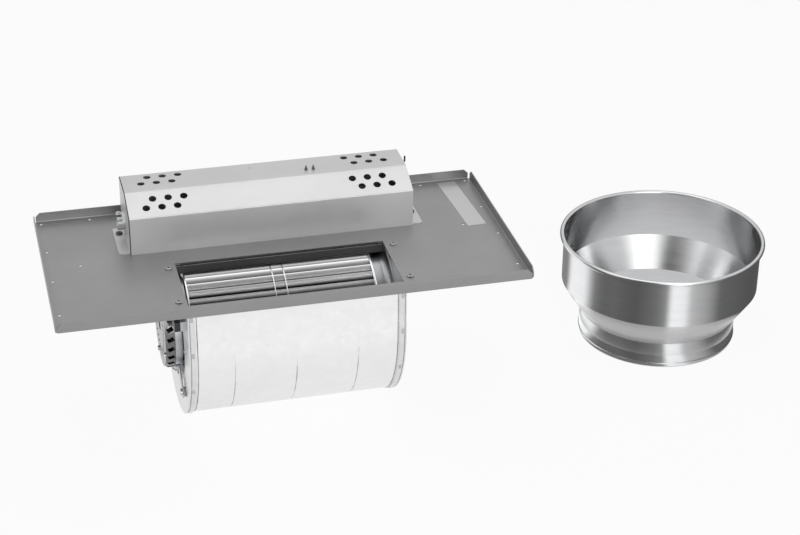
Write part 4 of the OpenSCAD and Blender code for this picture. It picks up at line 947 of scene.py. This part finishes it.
@dataclass
class Tray:
    """The mounting plate with its label and outlet screws. Sizes are millimetres."""

    half_w: float = 279.5
    half_d: float = 139.7
    sheet: float = 1.2
    flange_h: float = 12.0
    corner_gap: float = 3.0
    flange_cut: float = 5.0
    # bend radius of the sheet's middle, and the lines that the triangles keep to round it
    bend_r: float = 1.5
    bend_lines: int = 7
    hole_r: float = 2.0
    side_hole_x: float = 270.9
    side_hole_ys: tuple[float, ...] = (132.0, 56.7, -18.0, -99.5)
    rear_hole_xs: tuple[float, ...] = (211.5, 70.5)
    mid_hole: tuple[float, float] = (235.3, 14.0)
    screw_hole_r: float = 2.4
    outlet_screw_xs: tuple[float, float] = (-135.2, 138.6)
    outlet_screw_ys: tuple[float, float] = (-101.0, -18.2)
    foot_screws: tuple[tuple[float, float], ...] = ((-180.8, 83.2), (180.8, 60.0))
    lead_hole: Point = (-152.0, 52.0, 4.6)
    opening: tuple[float, float, float, float] = (-126.0, -111.9, 127.8, -6.6)
    tab_xs: tuple[float, float] = (-70.4, 118.3)
    tab_slot: Point = (4.3, 25.5, 27.1)

    def flat_ends(self) -> tuple[float, float]:
        """Half sizes of the flat part, up to where the bends start."""
        bend = self.sheet / 2 + self.bend_r
        return self.half_w - bend, self.half_d - bend

    def outline(self) -> np.ndarray:
        """The flat outline: four flanges with slanted corners round the plate."""
        up = self.bend_r * math.pi / 2 + self.flange_h + self.sheet / 2 - self.bend_r
        u1, v1 = self.flat_ends()
        u2, v2 = u1 + up, v1 + up
        ue, ve = self.half_w - self.corner_gap, self.half_d - self.corner_gap
        c = self.flange_cut
        side = [(u2, ve - c), (u2 - c, ve), (u1, ve)]
        loop = np.array([*side, (u1, v1), (ue, v1), (ue, v2 - c), (ue - c, v2)])
        mirrored = loop[::-1]
        return np.concatenate([loop, mirrored * [-1, 1], loop * [-1, -1], mirrored * [1, -1]])

    def holes(self) -> list[np.ndarray]:
        """All holes of the flat sheet."""
        spots = [(s * self.side_hole_x, y) for s in (-1, 1) for y in self.side_hole_ys]
        spots += [(s * x, self.side_hole_ys[0]) for s in (-1, 1) for x in self.rear_hole_xs]
        spots += [(s * self.mid_hole[0], self.mid_hole[1]) for s in (-1, 1)]
        found = [circle_loop(x, y, self.hole_r) for x, y in spots]
        screws = [(x, y) for x in self.outlet_screw_xs for y in self.outlet_screw_ys]
        found += [circle_loop(x, y, self.screw_hole_r) for x, y in (*screws, *self.foot_screws)]
        half, y0, y1 = self.tab_slot
        found += [box_loop(x - half, y0, x + half, y1) for x in self.tab_xs]
        return [*found, circle_loop(*self.lead_hole), box_loop(*self.opening)]

    def fold(self, flat: np.ndarray) -> tuple[np.ndarray, np.ndarray]:
        """Folds the flanges up: an arc from the end of the flat part, then straight on.

        Args:
            flat: n by 2 flat points.

        Returns:
            Places and unit normals.
        """
        place, normal = np.zeros((len(flat), 3)), np.zeros((len(flat), 3))
        place[:, 2] = -self.sheet / 2
        upright = np.ones(len(flat))
        for axis, end in enumerate(self.flat_ends()):
            run = np.abs(flat[:, axis])
            angle = np.clip((run - end) / self.bend_r, 0.0, math.pi / 2)
            rest = np.maximum(run - end - self.bend_r * math.pi / 2, 0.0)
            side = np.sign(flat[:, axis])
            place[:, axis] = side * (np.minimum(run, end) + self.bend_r * np.sin(angle))
            place[:, 2] += self.bend_r * (1 - np.cos(angle)) + rest
            normal[:, axis] = -side * np.sin(angle)
            upright *= np.cos(angle)
        normal[:, 2] = upright
        return place, normal

    def build(self) -> None:
        """Folds the plate, sets its screws and dresses the label."""
        lines = []
        (u1, v1), far = self.flat_ends(), 2 * self.half_w
        for share in np.linspace(0.0, 1.0, self.bend_lines):
            step = share * self.bend_r * math.pi / 2
            for s in (-1, 1):
                lines.append((s * (u1 + step), -far, s * (u1 + step), far))
                lines.append((-far, s * (v1 + step), far, s * (v1 + step)))
        sheet = folded_sheet([self.outline(), *self.holes()], lines, self.fold, self.sheet)
        new_piece("plate_sheet", sheet, "plate_paint", "mounting_plate")
        spots = [(x, y, 0.0) for x in self.outlet_screw_xs for y in self.outlet_screw_ys]
        screws = joined([PanScrew().shape(at) for at in spots])
        new_piece("outlet_screw_set", screws, "screw_steel", "outlet_screws")
        WARDROBE.dress({"foil": "rating_label"})
        log.info("tray ready")


@dataclass
class ControlBox:
    """The folded cover, its ends, fittings and the parts inside. Sizes are millimetres."""

    SOLIDS: ClassVar[dict[str, str]] = {
        "box_paint": "box_end_left box_end_right",
        "zinc_plated": "cover_screws capacitor_clip terminal_screws",
        "die_cast": "cable_clamp_body cable_clamp_locknut cable_clamp_bar",
        "white_plastic": "end_bushing board_standoffs terminal_block",
        "board": "control_board",
        "core_steel": "transformer_core",
        "copper": "transformer_coil",
        "black_plastic": "run_capacitor",
        "dark_screw": "clip_rivets",
    }
    half_w: float = 174.2
    sheet: float = 1.0
    front_y: float = 25.8
    front_h: float = 47.9
    kink_y: float = 63.2
    rear_y: float = 111.5
    top_z: float = 64.9
    tab_bottom: float = -2.4
    tab_xs: tuple[float, float] = (-70.4, 118.3)
    tab_half: float = 4.0
    bend_r: float = 1.6
    kink_r: float = 5.0
    vent_r: float = 4.6
    vent_pitch: float = 18.8
    # each row's first vent and its distance behind the middle
    vent_rows: Tones = ((103.8, 100.1), (103.8, 51.5), (113.2, 83.8), (113.2, 39.2))
    vents_a_row: int = 3
    rivet_xs: tuple[float, float] = (51.45, 60.55)
    rivet_y: float = 77.5
    rivet_hole_r: float = 1.7
    cover_screw: Point = (167.2, 30.0, 2.4)
    notch: tuple[float, float] = (1.5, 109.1)
    slot: tuple[float, float, float, float] = (-16.9, 97.5, -13.7, 98.5)
    foot_screws: tuple[Point, ...] = ((-180.8, 83.2, 1.0), (180.8, 60.0, 1.0))
    tail_r: float = 1.1
    tail_y: float = 91.6
    tail_z: float = 55.0
    tail_up: float = 8.0
    bushing_out: float = 3.0

    def cover(self) -> Shape:
        """The cover: front, slope, top and rear folded from one flat sheet with its vents.

        Returns:
            Points and faces.
        """
        half = self.sheet / 2
        rise = (self.top_z - self.front_h) / (self.kink_y - self.front_y)
        drop = half * math.hypot(1.0, rise)
        front = self.front_h + rise * half - drop
        kink = self.front_y + (self.top_z - half - self.front_h + drop) / rise
        top = self.top_z - half
        corners = [
            (self.front_y + half, self.tab_bottom),
            (self.front_y + half, front),
            (kink, top),
            (self.rear_y - half, top),
            (self.rear_y - half, 0.0),
        ]
        line, normal, station = fold_path(corners, [self.bend_r, self.kink_r, self.bend_r])
        end, start = station[-1], -self.tab_bottom

        def at_y(y: float) -> float:
            """Length of sheet up to a place behind the middle."""
            return float(np.interp(y, line[:-2, 0], station[:-2]))

        outline = [*box_loop(start, -self.half_w, end, self.half_w)]
        for x in sorted(self.tab_xs, reverse=True):
            outline += [(start, x + self.tab_half), (0.0, x + self.tab_half)]
            outline += [(0.0, x - self.tab_half), (start, x - self.tab_half)]
        loops = [np.array(outline)]
        for first, y in self.vent_rows:
            for s in (-1, 1):
                for k in range(self.vents_a_row):
                    x = s * (first + k * self.vent_pitch)
                    loops.append(circle_loop(at_y(y), x, self.vent_r))
        loops += [circle_loop(at_y(self.rivet_y), x, self.rivet_hole_r) for x in self.rivet_xs]
        x, z, r = self.cover_screw
        loops += [circle_loop(end - z, s * x, r, 20) for s in (-1, 1)]
        wide, y0 = self.notch
        loops.append(box_loop(at_y(y0), -wide, end - top + half, wide))
        x0, y0, x1, y1 = self.slot
        loops.append(box_loop(at_y(y0), x0, at_y(y1), x1))
        far = 2 * self.half_w
        lines = [(s, -far, s, far) for s in station[1:-1]]

        def fold(flat: np.ndarray) -> tuple[np.ndarray, np.ndarray]:
            """Carries flat points onto the folded line."""
            yz = [np.interp(flat[:, 0], station, line[:, k]) for k in (0, 1)]
            n = [np.interp(flat[:, 0], station, normal[:, k]) for k in (0, 1)]
            size = np.hypot(*n)
            place = np.column_stack([flat[:, 1], *yz])
            return place, np.column_stack([np.zeros(len(flat)), n[0] / size, n[1] / size])

        return folded_sheet(loops, lines, fold, self.sheet)

    def tail(self) -> Shape:
        """The wire tail: out through the bushing, then bent up."""
        out, r = self.half_w + self.bushing_out, self.tail_r
        corners = [
            (self.half_w - 2 * self.bushing_out, self.tail_z),
            (out + 5 / 2 * r, self.tail_z),
            (out + 5 / 2 * r, self.tail_z + self.tail_up),
        ]
        line, _, station = fold_path(corners, [2.2 * r])
        stops = np.linspace(0.0, station[-1], 40)
        x, z = (np.interp(stops, station, line[:, k]) for k in (0, 1))
        return tube(np.column_stack([x, np.full(len(stops), self.tail_y), z]), r, 16)

    def build(self) -> None:
        """Folds the cover, lays the wire tail and dresses the rest."""
        new_piece("cover_sheet", self.cover(), "cover_paint", "box_cover")
        screws = joined([PanScrew().shape(at) for at in self.foot_screws])
        new_piece("foot_screw_set", screws, "dark_screw", "box_foot_screws")
        new_piece("tail_wire", self.tail(), "black_rubber", "wire_tail")
        WARDROBE.dress(self.SOLIDS)
        log.info("control box ready")


@dataclass
class BlowerHousing:
    """The scroll: wrapper, side plates, inlet rings, lip, clips. Sizes are millimetres."""

    SOLIDS: ClassVar[dict[str, str]] = {
        "galvanised": "scroll_side_left scroll_side_right",
        "ring_grey": "inlet_ring_left inlet_ring_right",
        "shaded_lip_steel": "cutoff_lip",
        "zinc_plated": "rim_clips inlet_rivets",
    }
    sheet: float = 1.0
    in_x0: float = -127.0
    in_x1: float = 130.4
    rim_w: float = 8.5
    front_y: float = -113.2
    duct_y: float = -5.7
    front_z: float = -68.7
    front_r: float = 133.0
    rear_r: float = 99.0
    top_r: float = 95.3
    top_z: float = -7.4
    flange_w: float = 8.0
    flange_z: float = -1.7
    bend_r: float = 1.2
    # faint creases where the sheet starts to bend round
    crease_xs: tuple[float, ...] = (-74.0, 0.0, 74.0)
    crease_depth: float = 0.55
    crease_w: float = 1.1
    crease_z0: float = -58.0
    crease_l: float = 95.0
    # lines that the triangles keep to: along a crease, as shares of its width, and across it
    crease_lines: tuple[float, ...] = (-2.2, -1.4, -0.9, -0.45, 0.0, 0.45, 0.9, 1.4, 2.2)
    crease_steps: int = 16
    fade_power: float = 0.7

    def wrapper(self) -> Shape:
        """The wrapper: one strip bent round the scroll, with a flange at both ends.

        Creases are narrow troughs of depth d exp(-(x/w)^2), faded in and out along the strip.

        Returns:
            Points and faces.
        """
        half = self.sheet / 2
        front, rear = self.front_y + half, self.duct_y - half
        bottom = self.front_z - self.front_r + half
        back = front + self.front_r + self.rear_r - self.sheet
        top = self.top_z - half
        corners = [
            (self.front_y - self.flange_w, self.flange_z),
            (front, self.flange_z),
            (front, bottom),
            (back, bottom),
            (back, top),
            (rear, top),
            (rear, self.flange_z),
            (self.duct_y + self.flange_w, self.flange_z),
        ]
        round_r = [r - half for r in (self.front_r, self.rear_r, self.top_r)]
        radii = [self.bend_r, *round_r, self.bend_r, self.bend_r]
        line, normal, station = fold_path(corners, radii)
        end = station[-1]
        wall0 = self.flange_w - half + self.bend_r * (math.pi / 2 - 1)
        wall1 = end - wall0 - self.sheet
        a0, a1 = self.in_x0 + self.rim_w, self.in_x1 - self.rim_w
        left = [(0.0, a0), (wall0, a0), (wall0, self.in_x0), (wall1, self.in_x0), (wall1, a0)]
        right = [(wall1, a1), (wall1, self.in_x1), (wall0, self.in_x1), (wall0, a1), (0.0, a1)]
        outline = np.array([*left, (end, a0), (end, a1), *right])
        far = 2 * self.in_x1
        lines = [(s, -far, s, far) for s in station[1:-1]]
        start = self.flange_w + self.flange_z - self.crease_z0
        stop = start + self.crease_l
        lines += [(s, -far, s, far) for s in np.linspace(start, stop, self.crease_steps)]
        for x in self.crease_xs:
            spots = [x + share * self.crease_w for share in self.crease_lines]
            lines += [(start, at, stop, at) for at in spots]

        def fold(flat: np.ndarray) -> tuple[np.ndarray, np.ndarray]:
            """Carries flat points onto the bent strip and presses the creases in."""
            yz = np.column_stack([np.interp(flat[:, 0], station, line[:, k]) for k in (0, 1)])
            n = np.column_stack([np.interp(flat[:, 0], station, normal[:, k]) for k in (0, 1)])
            n /= np.linalg.norm(n, axis=1)[:, None]
            share = np.clip((flat[:, 0] - start) / (stop - start), 0.0, 1.0)
            fade = np.sin(math.pi * share) ** self.fade_power * ((share > 0) & (share < 1))
            press = sum(np.exp(-(((flat[:, 1] - x) / self.crease_w) ** 2)) for x in self.crease_xs)
            yz = yz + n * (self.crease_depth * fade * press)[:, None]
            return np.column_stack([flat[:, 1], yz]), np.column_stack([np.zeros(len(flat)), n])

        log.info("wrapper strip: %.0f mm long", end)
        return folded_sheet([outline], lines, fold, self.sheet)

    def build(self) -> None:
        """Bends the wrapper and dresses the rest."""
        new_piece("wrapper_strip", self.wrapper(), "strip", "scroll_wrapper")
        WARDROBE.dress(self.SOLIDS)
        log.info("scroll ready")


@dataclass
class Motor:
    """The motor in the left inlet, with its band, arms and wiring. Sizes are millimetres."""

    SOLIDS: ClassVar[dict[str, str]] = {
        "motor_steel": "motor_shell motor_outer_bell motor_inner_bell",
        "bronze": "motor_bearings",
        "core_steel": "stator_core",
        "zinc_plated": "motor_bolts belly_band mount_arms arm_screws plug_socket",
        "screw_steel": "band_clamp_bolt",
        "grey_rubber": "mount_grommets",
        "black_plastic": "motor_plug",
        "black_rubber": "lead_grommet",
    }
    axis_y: float = -1.8
    axis_z: float = -82.5
    # winding heads: inner and outer radius, and where each starts and ends
    coil_r0: float = 31.0
    coil_r1: float = 43.0
    coil_spans: tuple[tuple[float, float], ...] = ((-134.0, -124.0), (-94.0, -84.0))
    slots: int = 24
    strands: int = 22
    # how deep the bundle dips at a slot and between two wires, as shares of its section
    dip: float = 0.13
    groove: float = 0.05
    lead_r: float = 2.4
    shell_r: float = 53.5
    bell_x: float = -147.5
    bell_gap: float = 0.2
    plug_w: float = 6.8
    plug_l: float = 24.0
    plug_h: float = 12.0
    plug_mid: Point = (-137.1, -68.0, -38.0)
    lead_x: float = -152.0
    lead_y: float = 52.0
    under_z: float = -11.8
    plate_t: float = 1.2
    term: Point = (-139.0, 69.0, 7.0)

    def winding_head(self, x0: float, x1: float) -> Shape:
        """One winding head: a ring of wound wire, lumpy at each slot.

        A ring of elliptic section, a (cos t, sin t), whose radius swells by a share of
        cos(slots u) as the coils dive into the slots, and whose surface is grooved by
        cos(strands (t + u / 3)), wires that run slowly round the bundle.

        Args:
            x0: one end of the head.
            x1: the other end.

        Returns:
            Points and faces.
        """
        turns, sides = 20 * self.slots, 6 * self.strands
        u = np.linspace(0.0, 2 * math.pi, turns, endpoint=False)[:, None]
        t = np.linspace(0.0, 2 * math.pi, sides, endpoint=False)[None, :]
        swell = 1 - self.dip * (0.5 - 0.5 * np.cos(self.slots * u))
        swell = swell + self.groove * (np.cos(self.strands * (t + u / 3)) - 1)
        middle, deep = (self.coil_r0 + self.coil_r1) / 2, (self.coil_r1 - self.coil_r0) / 2
        radius = middle + deep * swell * np.cos(t)
        x = (x0 + x1) / 2 + (x1 - x0) / 2 * swell * np.sin(t)
        y, z = radius * np.cos(u) + self.axis_y, radius * np.sin(u) + self.axis_z
        faces = grid_faces(turns, sides, True, True).tolist()
        return np.stack([x, y, z], -1).reshape(-1, 3), faces

    def motor_lead(self) -> Shape:
        """The lead from the outer bell to the plug, along the route of its solid."""
        plug = np.array(self.plug_mid)
        y, z = self.axis_y - self.shell_r / 2, self.axis_z + self.shell_r * 3 / 5
        start = np.array([self.bell_x - 2 * self.bell_gap, y, z])
        controls = [
            start,
            start + [-6 / 5 * self.plug_w, 0.0, 0.0],
            plug + [-11 / 5 * self.plug_w, self.plug_l, -self.plug_h / 4],
            plug + [0.0, 2 * self.lead_r, 0.0],
        ]
        end = plug + [0.0, self.bell_gap / 2, 0.0]
        return tube(np.concatenate([bezier(np.array(controls), 48), [end]]), self.lead_r, 24)

    def supply_lead(self) -> Shape:
        """The lead from the plug, under the plate and up through its grommet to the terminals."""
        r, plug_l, plug_h = self.lead_r, self.plug_l, self.plug_h
        top = np.array(self.plug_mid) + [0.0, -plug_l / 2, 0.0]
        x, y, z = self.lead_x, self.lead_y, self.under_z
        _, term_y, term_z = self.term
        runs = [
            [
                top + [0.0, 0.0, plug_h / 2 + r],
                top + [0.0, 0.0, plug_h + r],
                [x + r, top[1] + plug_l / 2, z],
                [x, top[1] + 2 * plug_l, z],
            ],
            [[x, y - plug_l, z], [x, y, z], [x, y, z], [x, y, -self.plate_t - r]],
            [[x, y, self.plate_t], [x, y, term_z], [x, term_y, term_z], self.term],
        ]
        first = top + [0.0, 0.0, plug_h / 2 + self.bell_gap / 2]
        path = [[first], *[bezier(np.array(run, float), 30) for run in runs]]
        return tube(np.concatenate(path), r, 20)

    def build(self) -> None:
        """Winds the coils, lays the leads and dresses the rest."""
        heads = joined([self.winding_head(*span) for span in self.coil_spans])
        new_piece("winding_heads", heads, "copper", "stator_windings", smooth_deg=80.0)
        new_piece("motor_cable", self.motor_lead(), "black_rubber", "motor_lead")
        new_piece("supply_cable", self.supply_lead(), "black_rubber", "supply_lead")
        WARDROBE.dress(self.SOLIDS)
        log.info("motor ready")


@dataclass
class Wheel:
    """The double-inlet wheel with its shaft and rotor. Sizes are millimetres."""

    SOLIDS: ClassVar[dict[str, str]] = {
        "zinc_plated": "motor_shaft wheel_hub",
        "core_steel": "rotor_core",
        "screw_steel": "hub_set_screw",
        "ring_steel": "wheel_discs wheel_end_rings",
    }
    # rows between the end rings and the two discs
    ROWS: ClassVar[dict[str, tuple[float, float]]] = {
        "blades_left": (-115.7, -12.5),
        "blades_centre": (-11.5, 1.8),
        "blades_right": (2.8, 108.4),
    }
    axis_y: float = -1.8
    axis_z: float = -82.5
    blades: int = 39
    inner_r: float = 57.5
    outer_r: float = 66.0
    blade_t: float = 0.7
    sweep_deg: float = 7.5
    # points along a blade, and how square its tips are
    steps: int = 15
    square: int = 16
    thinnest: float = 0.04

    def blade_row(self, x0: float, x1: float) -> Shape:
        """One row of blades: each sweeps forward with the square of its way out.

        At a share t of the way from inner to outer radius, a blade lies 90 - s t^2 degrees
        round, half its thickness to either side. The tip is rounded off by the same formula.

        Args:
            x0: left end of the row.
            x1: right end of the row.

        Returns:
            Points and faces.
        """
        t = np.linspace(0.0, 1.0, self.steps)
        radius = self.inner_r + (self.outer_r - self.inner_r) * t
        round_off = np.clip(1.0 - (2 * t - 1) ** self.square, self.thinnest, 1.0)
        thick = self.blade_t / 2 * np.sqrt(round_off)
        middle = math.pi / 2 - math.radians(self.sweep_deg) * t**2
        angle = np.concatenate([middle - thick / radius, (middle + thick / radius)[::-1]])
        reach = np.concatenate([radius, radius[::-1]])
        turn = np.arange(self.blades)[:, None] * 2 * math.pi / self.blades
        y = reach * np.cos(angle + turn) + self.axis_y
        z = reach * np.sin(angle + turn) + self.axis_z
        sides = len(reach)
        ends = np.array([x0, x1])[None, :, None]
        size = (self.blades, 2, sides)
        places = [np.broadcast_to(a, size) for a in (ends, y[:, None, :], z[:, None, :])]
        one = grid_faces(2, sides, False, True).tolist()
        one += [list(range(sides)), [sides + k for k in range(sides)]]
        starts = np.arange(self.blades) * 2 * sides
        faces = [[v + int(at) for v in face] for at in starts for face in one]
        return np.stack(places, -1).reshape(-1, 3), faces

    def build(self) -> None:
        """Sets the blade rows and dresses the rest."""
        for node, span in self.ROWS.items():
            name, row = node.replace("blades", "blade_row"), self.blade_row(*span)
            new_piece(name, row, "wheel_steel", node, body=Body.WHEEL, smooth_deg=50.0)
        WARDROBE.dress(self.SOLIDS)
        log.info("wheel ready")


@dataclass
class DuctReducer:
    """The loose reducer: large collar, cone and small collar."""

    SOLIDS: ClassVar[dict[str, str]] = {
        "reducer_steel": "reducer_large_collar reducer_cone reducer_small_collar"
    }

    def build(self) -> None:
        """Dresses the reducer."""
        WARDROBE.dress(self.SOLIDS)
        log.info("reducer ready")


# ---------------------------------------------------------------- studio


@dataclass(frozen=True)
class Lamp:
    """A square soft lamp: place and aim in metres, side length and power in watts."""

    name: str
    at: Point
    towards: Point
    size: float
    watts: float

    def build(self) -> None:
        """Hangs the lamp."""
        data = bpy.data.lights.new(self.name, "AREA")
        data.shape = "SQUARE"
        data.size = self.size
        data.energy = self.watts
        away = Vector(self.towards) - Vector(self.at)
        aim = away.to_track_quat("-Z", "Y").to_matrix().to_4x4()
        add_object(self.name, data).matrix_world = Matrix.Translation(self.at) @ aim


@dataclass
class Studio:
    """Floor, light and camera. Sizes are metres."""

    LAMPS: ClassVar[tuple[Lamp, ...]] = (
        Lamp("key_left", (-2.6, -0.6, 0.15), (0.0, 0.0, -0.05), 1.5, 22.0),
        Lamp("front", (0.3, -2.8, 1.0), (0.1, 0.0, -0.05), 1.6, 31.0),
        Lamp("top", (0.2, 0.4, 2.4), (0.1, 0.0, 0.0), 1.8, 9.0),
    )
    floor_z: float = -0.2032
    floor_half: float = 12.0
    # share of the floor that glows, and the level of the air where it lights
    glow_share: float = 0.93
    air_level: float = 0.36
    camera_at: Point = (-0.38125, -2.08237, 1.12034)
    lens_mm: float = 89.343
    sensor_mm: float = 36.0
    clip: tuple[float, float] = (0.05, 60.0)
    # the camera's right, down and ahead
    rows: tuple[Point, ...] = (
        (0.96979017, -0.24381061, 0.00796266),
        (-0.10929558, -0.46345715, -0.87935314),
        (0.21808598, 0.85191775, -0.47610361),
    )
    # card bowl: the reducer's axis, and distance from it and height
    tent_axis: tuple[float, float] = (0.514, 0.046)
    tent_profile: Tones = ((0.103, -0.2028), (0.24, -0.2028), (0.24, -0.02))
    tent_turns: int = 96
    # azimuth in degrees from the camera's direction, and the card's tone
    card_tones: Tones = (
        (-180.0, 0.30),
        (-150.0, 0.30),
        (-106.0, 0.30),
        (-97.0, 1.45),
        (-72.0, 1.45),
        (-60.0, 0.32),
        (-50.0, 0.20),
        (-17.0, 0.15),
        (0.0, 0.24),
        (8.0, 0.36),
        (13.0, 1.50),
        (24.0, 1.40),
        (30.0, 0.78),
        (45.0, 0.55),
        (58.0, 0.20),
        (110.0, 0.12),
        (180.0, 0.12),
    )
    # pale ring that the cone's underside mirrors: it leans outward, so that the small collar
    # sees only its clear back
    ring_profile: Tones = ((0.1035, -0.1875), (0.125, -0.2025))
    ring_tones: Tones = ((0.0, 1.0), (1.0, 1.0))
    # card over the outlet opening: its x and y ends and height, and tones from front to back
    lid_x: tuple[float, float] = (-0.20, 0.29)
    lid_y: tuple[float, float] = (-0.80, 0.02)
    lid_z: float = 0.30
    lid_tones: Tones = (
        (0.0, 0.02),
        (0.27, 0.02),
        (0.55, 0.07),
        (0.67, 0.18),
        (0.79, 0.60),
        (0.88, 1.0),
        (1.0, 1.0),
    )
    # card that the far inside of the cone mirrors: its x and y ends, height and tones
    cone_card_x: tuple[float, float] = (0.30, 0.86)
    cone_card_y: tuple[float, float] = (-0.75, -0.25)
    cone_card_z: float = 0.30
    cone_card_tones: Tones = ((0.0, 0.45), (0.35, 1.0), (0.65, 1.0), (1.0, 0.45))
    # brightness of tone 1 on the ring, the cone's card and the lid
    ring_strength: float = 0.8
    cone_card_strength: float = 2.2
    lid_strength: float = 1.5

    def camera(self) -> None:
        """Places the camera where the photograph was taken from."""
        data = bpy.data.cameras.new("camera")
        data.lens = self.lens_mm
        data.sensor_width = self.sensor_mm
        data.clip_start, data.clip_end = self.clip
        camera = add_object("camera", data)
        right, down, ahead = (Vector(row) for row in self.rows)
        turn = Matrix((right, -down, -ahead)).transposed().to_4x4()
        camera.matrix_world = Matrix.Translation(self.camera_at) @ turn
        bpy.context.scene.camera = camera

    def seen_flag(self, graph: Graph) -> Socket:
        """One where the ray is seen directly, in a reflection or through glass, else zero."""
        path = graph.node("LightPath").outputs
        first = graph.math("ADD", path["Is Camera Ray"], path["Is Glossy Ray"])
        return graph.math("ADD", first, path["Is Transmission Ray"], clamp=True)

    def world(self) -> None:
        """White where it is seen, a plain soft level where it lights."""
        world = bpy.data.worlds.new("studio_air")
        bpy.context.scene.world = world
        graph = Graph(world)
        level = graph.remap(self.seen_flag(graph), (0.0, 1.0), (self.air_level, 1.0))
        shell = graph.node("Background", {"Color": srgb("#ffffff"), "Strength": level})
        graph.node("OutputWorld", {"Surface": shell.outputs["Background"]})

    def blank(
        self, name: str, points: np.ndarray, faces: list, paint: str
    ) -> tuple[bpy.types.Object, Graph]:
        """Adds a mesh with an empty material.

        Args:
            name: name of the piece.
            points: its points in metres, about its own origin.
            faces: vertex numbers.
            paint: name of the material.

        Returns:
            The piece and its material's graph.
        """
        mesh = bpy.data.meshes.new(name)
        mesh.from_pydata(points.tolist(), [], faces)
        piece = add_object(name, mesh)
        material = bpy.data.materials.new(paint)
        mesh.materials.append(material)
        return piece, Graph(material)

    def floor(self) -> None:
        """A pale floor: it takes the soft shadow and reads as white paper."""
        half = box_loop(-1, -1, 1, 1) * self.floor_half
        points = np.column_stack([half, np.full(4, self.floor_z)])
        floor, graph = self.blank("floor", points, [[0, 1, 2, 3]], "white_paper")
        paper = graph.node("BsdfDiffuse", {"Color": srgb("#f2f2f2")}).outputs["BSDF"]
        glow = graph.node("Emission", {"Color": srgb("#ffffff"), "Strength": 1.0})
        share = graph.math("MULTIPLY", self.seen_flag(graph), self.glow_share)
        mix = graph.node("MixShader", {0: share, 1: paper, 2: glow.outputs["Emission"]})
        graph.node("OutputMaterial", {"Surface": mix.outputs["Shader"]})

    def card(
        self,
        name: str,
        points: np.ndarray,
        faces: list,
        gradient: str,
        tones: Tones,
        strength: float = 1.0,
    ) -> bpy.types.Object:
        """A flag or reflector that only mirror-like reflections see, from its front face.

        Args:
            name: name of the card.
            points: its points in metres, about its own origin.
            faces: vertex numbers.
            gradient: the gradient's type, LINEAR along X or RADIAL round Z.
            tones: place along the gradient, from zero to one, and brightness.
            strength: brightness of tone 1.

        Returns:
            The card.
        """
        card, graph = self.blank(name, points, faces, name + "_tones")
        place = graph.node("TexCoord").outputs["Object"]
        along = graph.node("TexGradient", {"Vector": place}, gradient_type=gradient)
        stops = [(at, (tone, tone, tone, 1.0)) for at, tone in tones]
        colour = graph.ramp(along.outputs["Fac"], stops)
        glow = graph.node("Emission", {"Color": colour, "Strength": strength}).outputs["Emission"]
        clear = graph.node("BsdfTransparent").outputs["BSDF"]
        back = graph.node("NewGeometry").outputs["Backfacing"]
        both = graph.node("MixShader", {0: back, 1: glow, 2: clear})
        graph.node("OutputMaterial", {"Surface": both.outputs["Shader"]})
        card.visible_camera = False
        card.visible_diffuse = False
        card.visible_transmission = False
        card.visible_shadow = False
        return card

    def round_card(self, name: str, profile: Tones, tones: Tones, strength: float = 1.0) -> None:
        """A card turned round the reducer's axis, its tones counted from the camera's side.

        Args:
            name: name of the card.
            profile: distance from the axis and height, from inside to outside.
            tones: place round the axis, from zero to one, and brightness.
            strength: brightness of tone 1.
        """
        angle = np.linspace(-math.pi, math.pi, self.tent_turns + 1)
        ring = turned(np.array(profile), angle)
        faces = grid_faces(len(angle), len(profile), False, False).tolist()
        card = self.card(name, ring.reshape(-1, 3), faces, "RADIAL", tones, strength)
        card.location = (*self.tent_axis, 0.0)
        ahead = np.subtract(self.camera_at[:2], self.tent_axis)
        card.rotation_euler = (0.0, 0.0, math.atan2(ahead[1], ahead[0]))

    def cards(self) -> None:
        """The card bowl round the reducer, and the flat cards over the cone and the outlet."""
        bands = tuple((degrees / 360.0 + 0.5, tone) for degrees, tone in self.card_tones)
        self.round_card("card_bowl", self.tent_profile, bands)
        self.round_card("card_ring", self.ring_profile, self.ring_tones, self.ring_strength)
        face = [[0, 1, 2, 3]]
        (x0, x1), (y0, y1) = self.cone_card_x, self.cone_card_y
        wide, long = x1 - x0, (y1 - y0) / (x1 - x0)
        points = np.array([[0, 0, 0], [0, long, 0], [1, long, 0], [1, 0, 0]], float)
        tones, strength = self.cone_card_tones, self.cone_card_strength
        flap = self.card("card_cone", points, face, "LINEAR", tones, strength)
        flap.location = (x0, y0, self.cone_card_z)
        flap.scale = (wide, wide, wide)
        deep = self.lid_y[1] - self.lid_y[0]
        x0, x1 = (x / deep for x in self.lid_x)
        points = np.array([[0, -x0, 0], [1, -x0, 0], [1, -x1, 0], [0, -x1, 0]], float)
        lid = self.card("card_lid", points, face, "LINEAR", self.lid_tones, self.lid_strength)
        lid.location = (0.0, self.lid_y[0], self.lid_z)
        lid.rotation_euler = (0.0, 0.0, math.pi / 2)
        lid.scale = (deep, deep, deep)

    def build(self) -> None:
        """Sets up camera, world, floor, cards and lamps."""
        self.camera()
        self.world()
        self.floor()
        self.cards()
        for lamp in self.LAMPS:
            lamp.build()
        bpy.context.scene.view_settings.view_transform = "Standard"
        log.info("studio ready")


def main() -> None:
    """Builds the studio and every sub-assembly."""
    Studio().build()
    for part in (Tray(), ControlBox(), BlowerHousing(), Motor(), Wheel(), DuctReducer()):
        part.build()


if __name__ == "__main__":
    main()
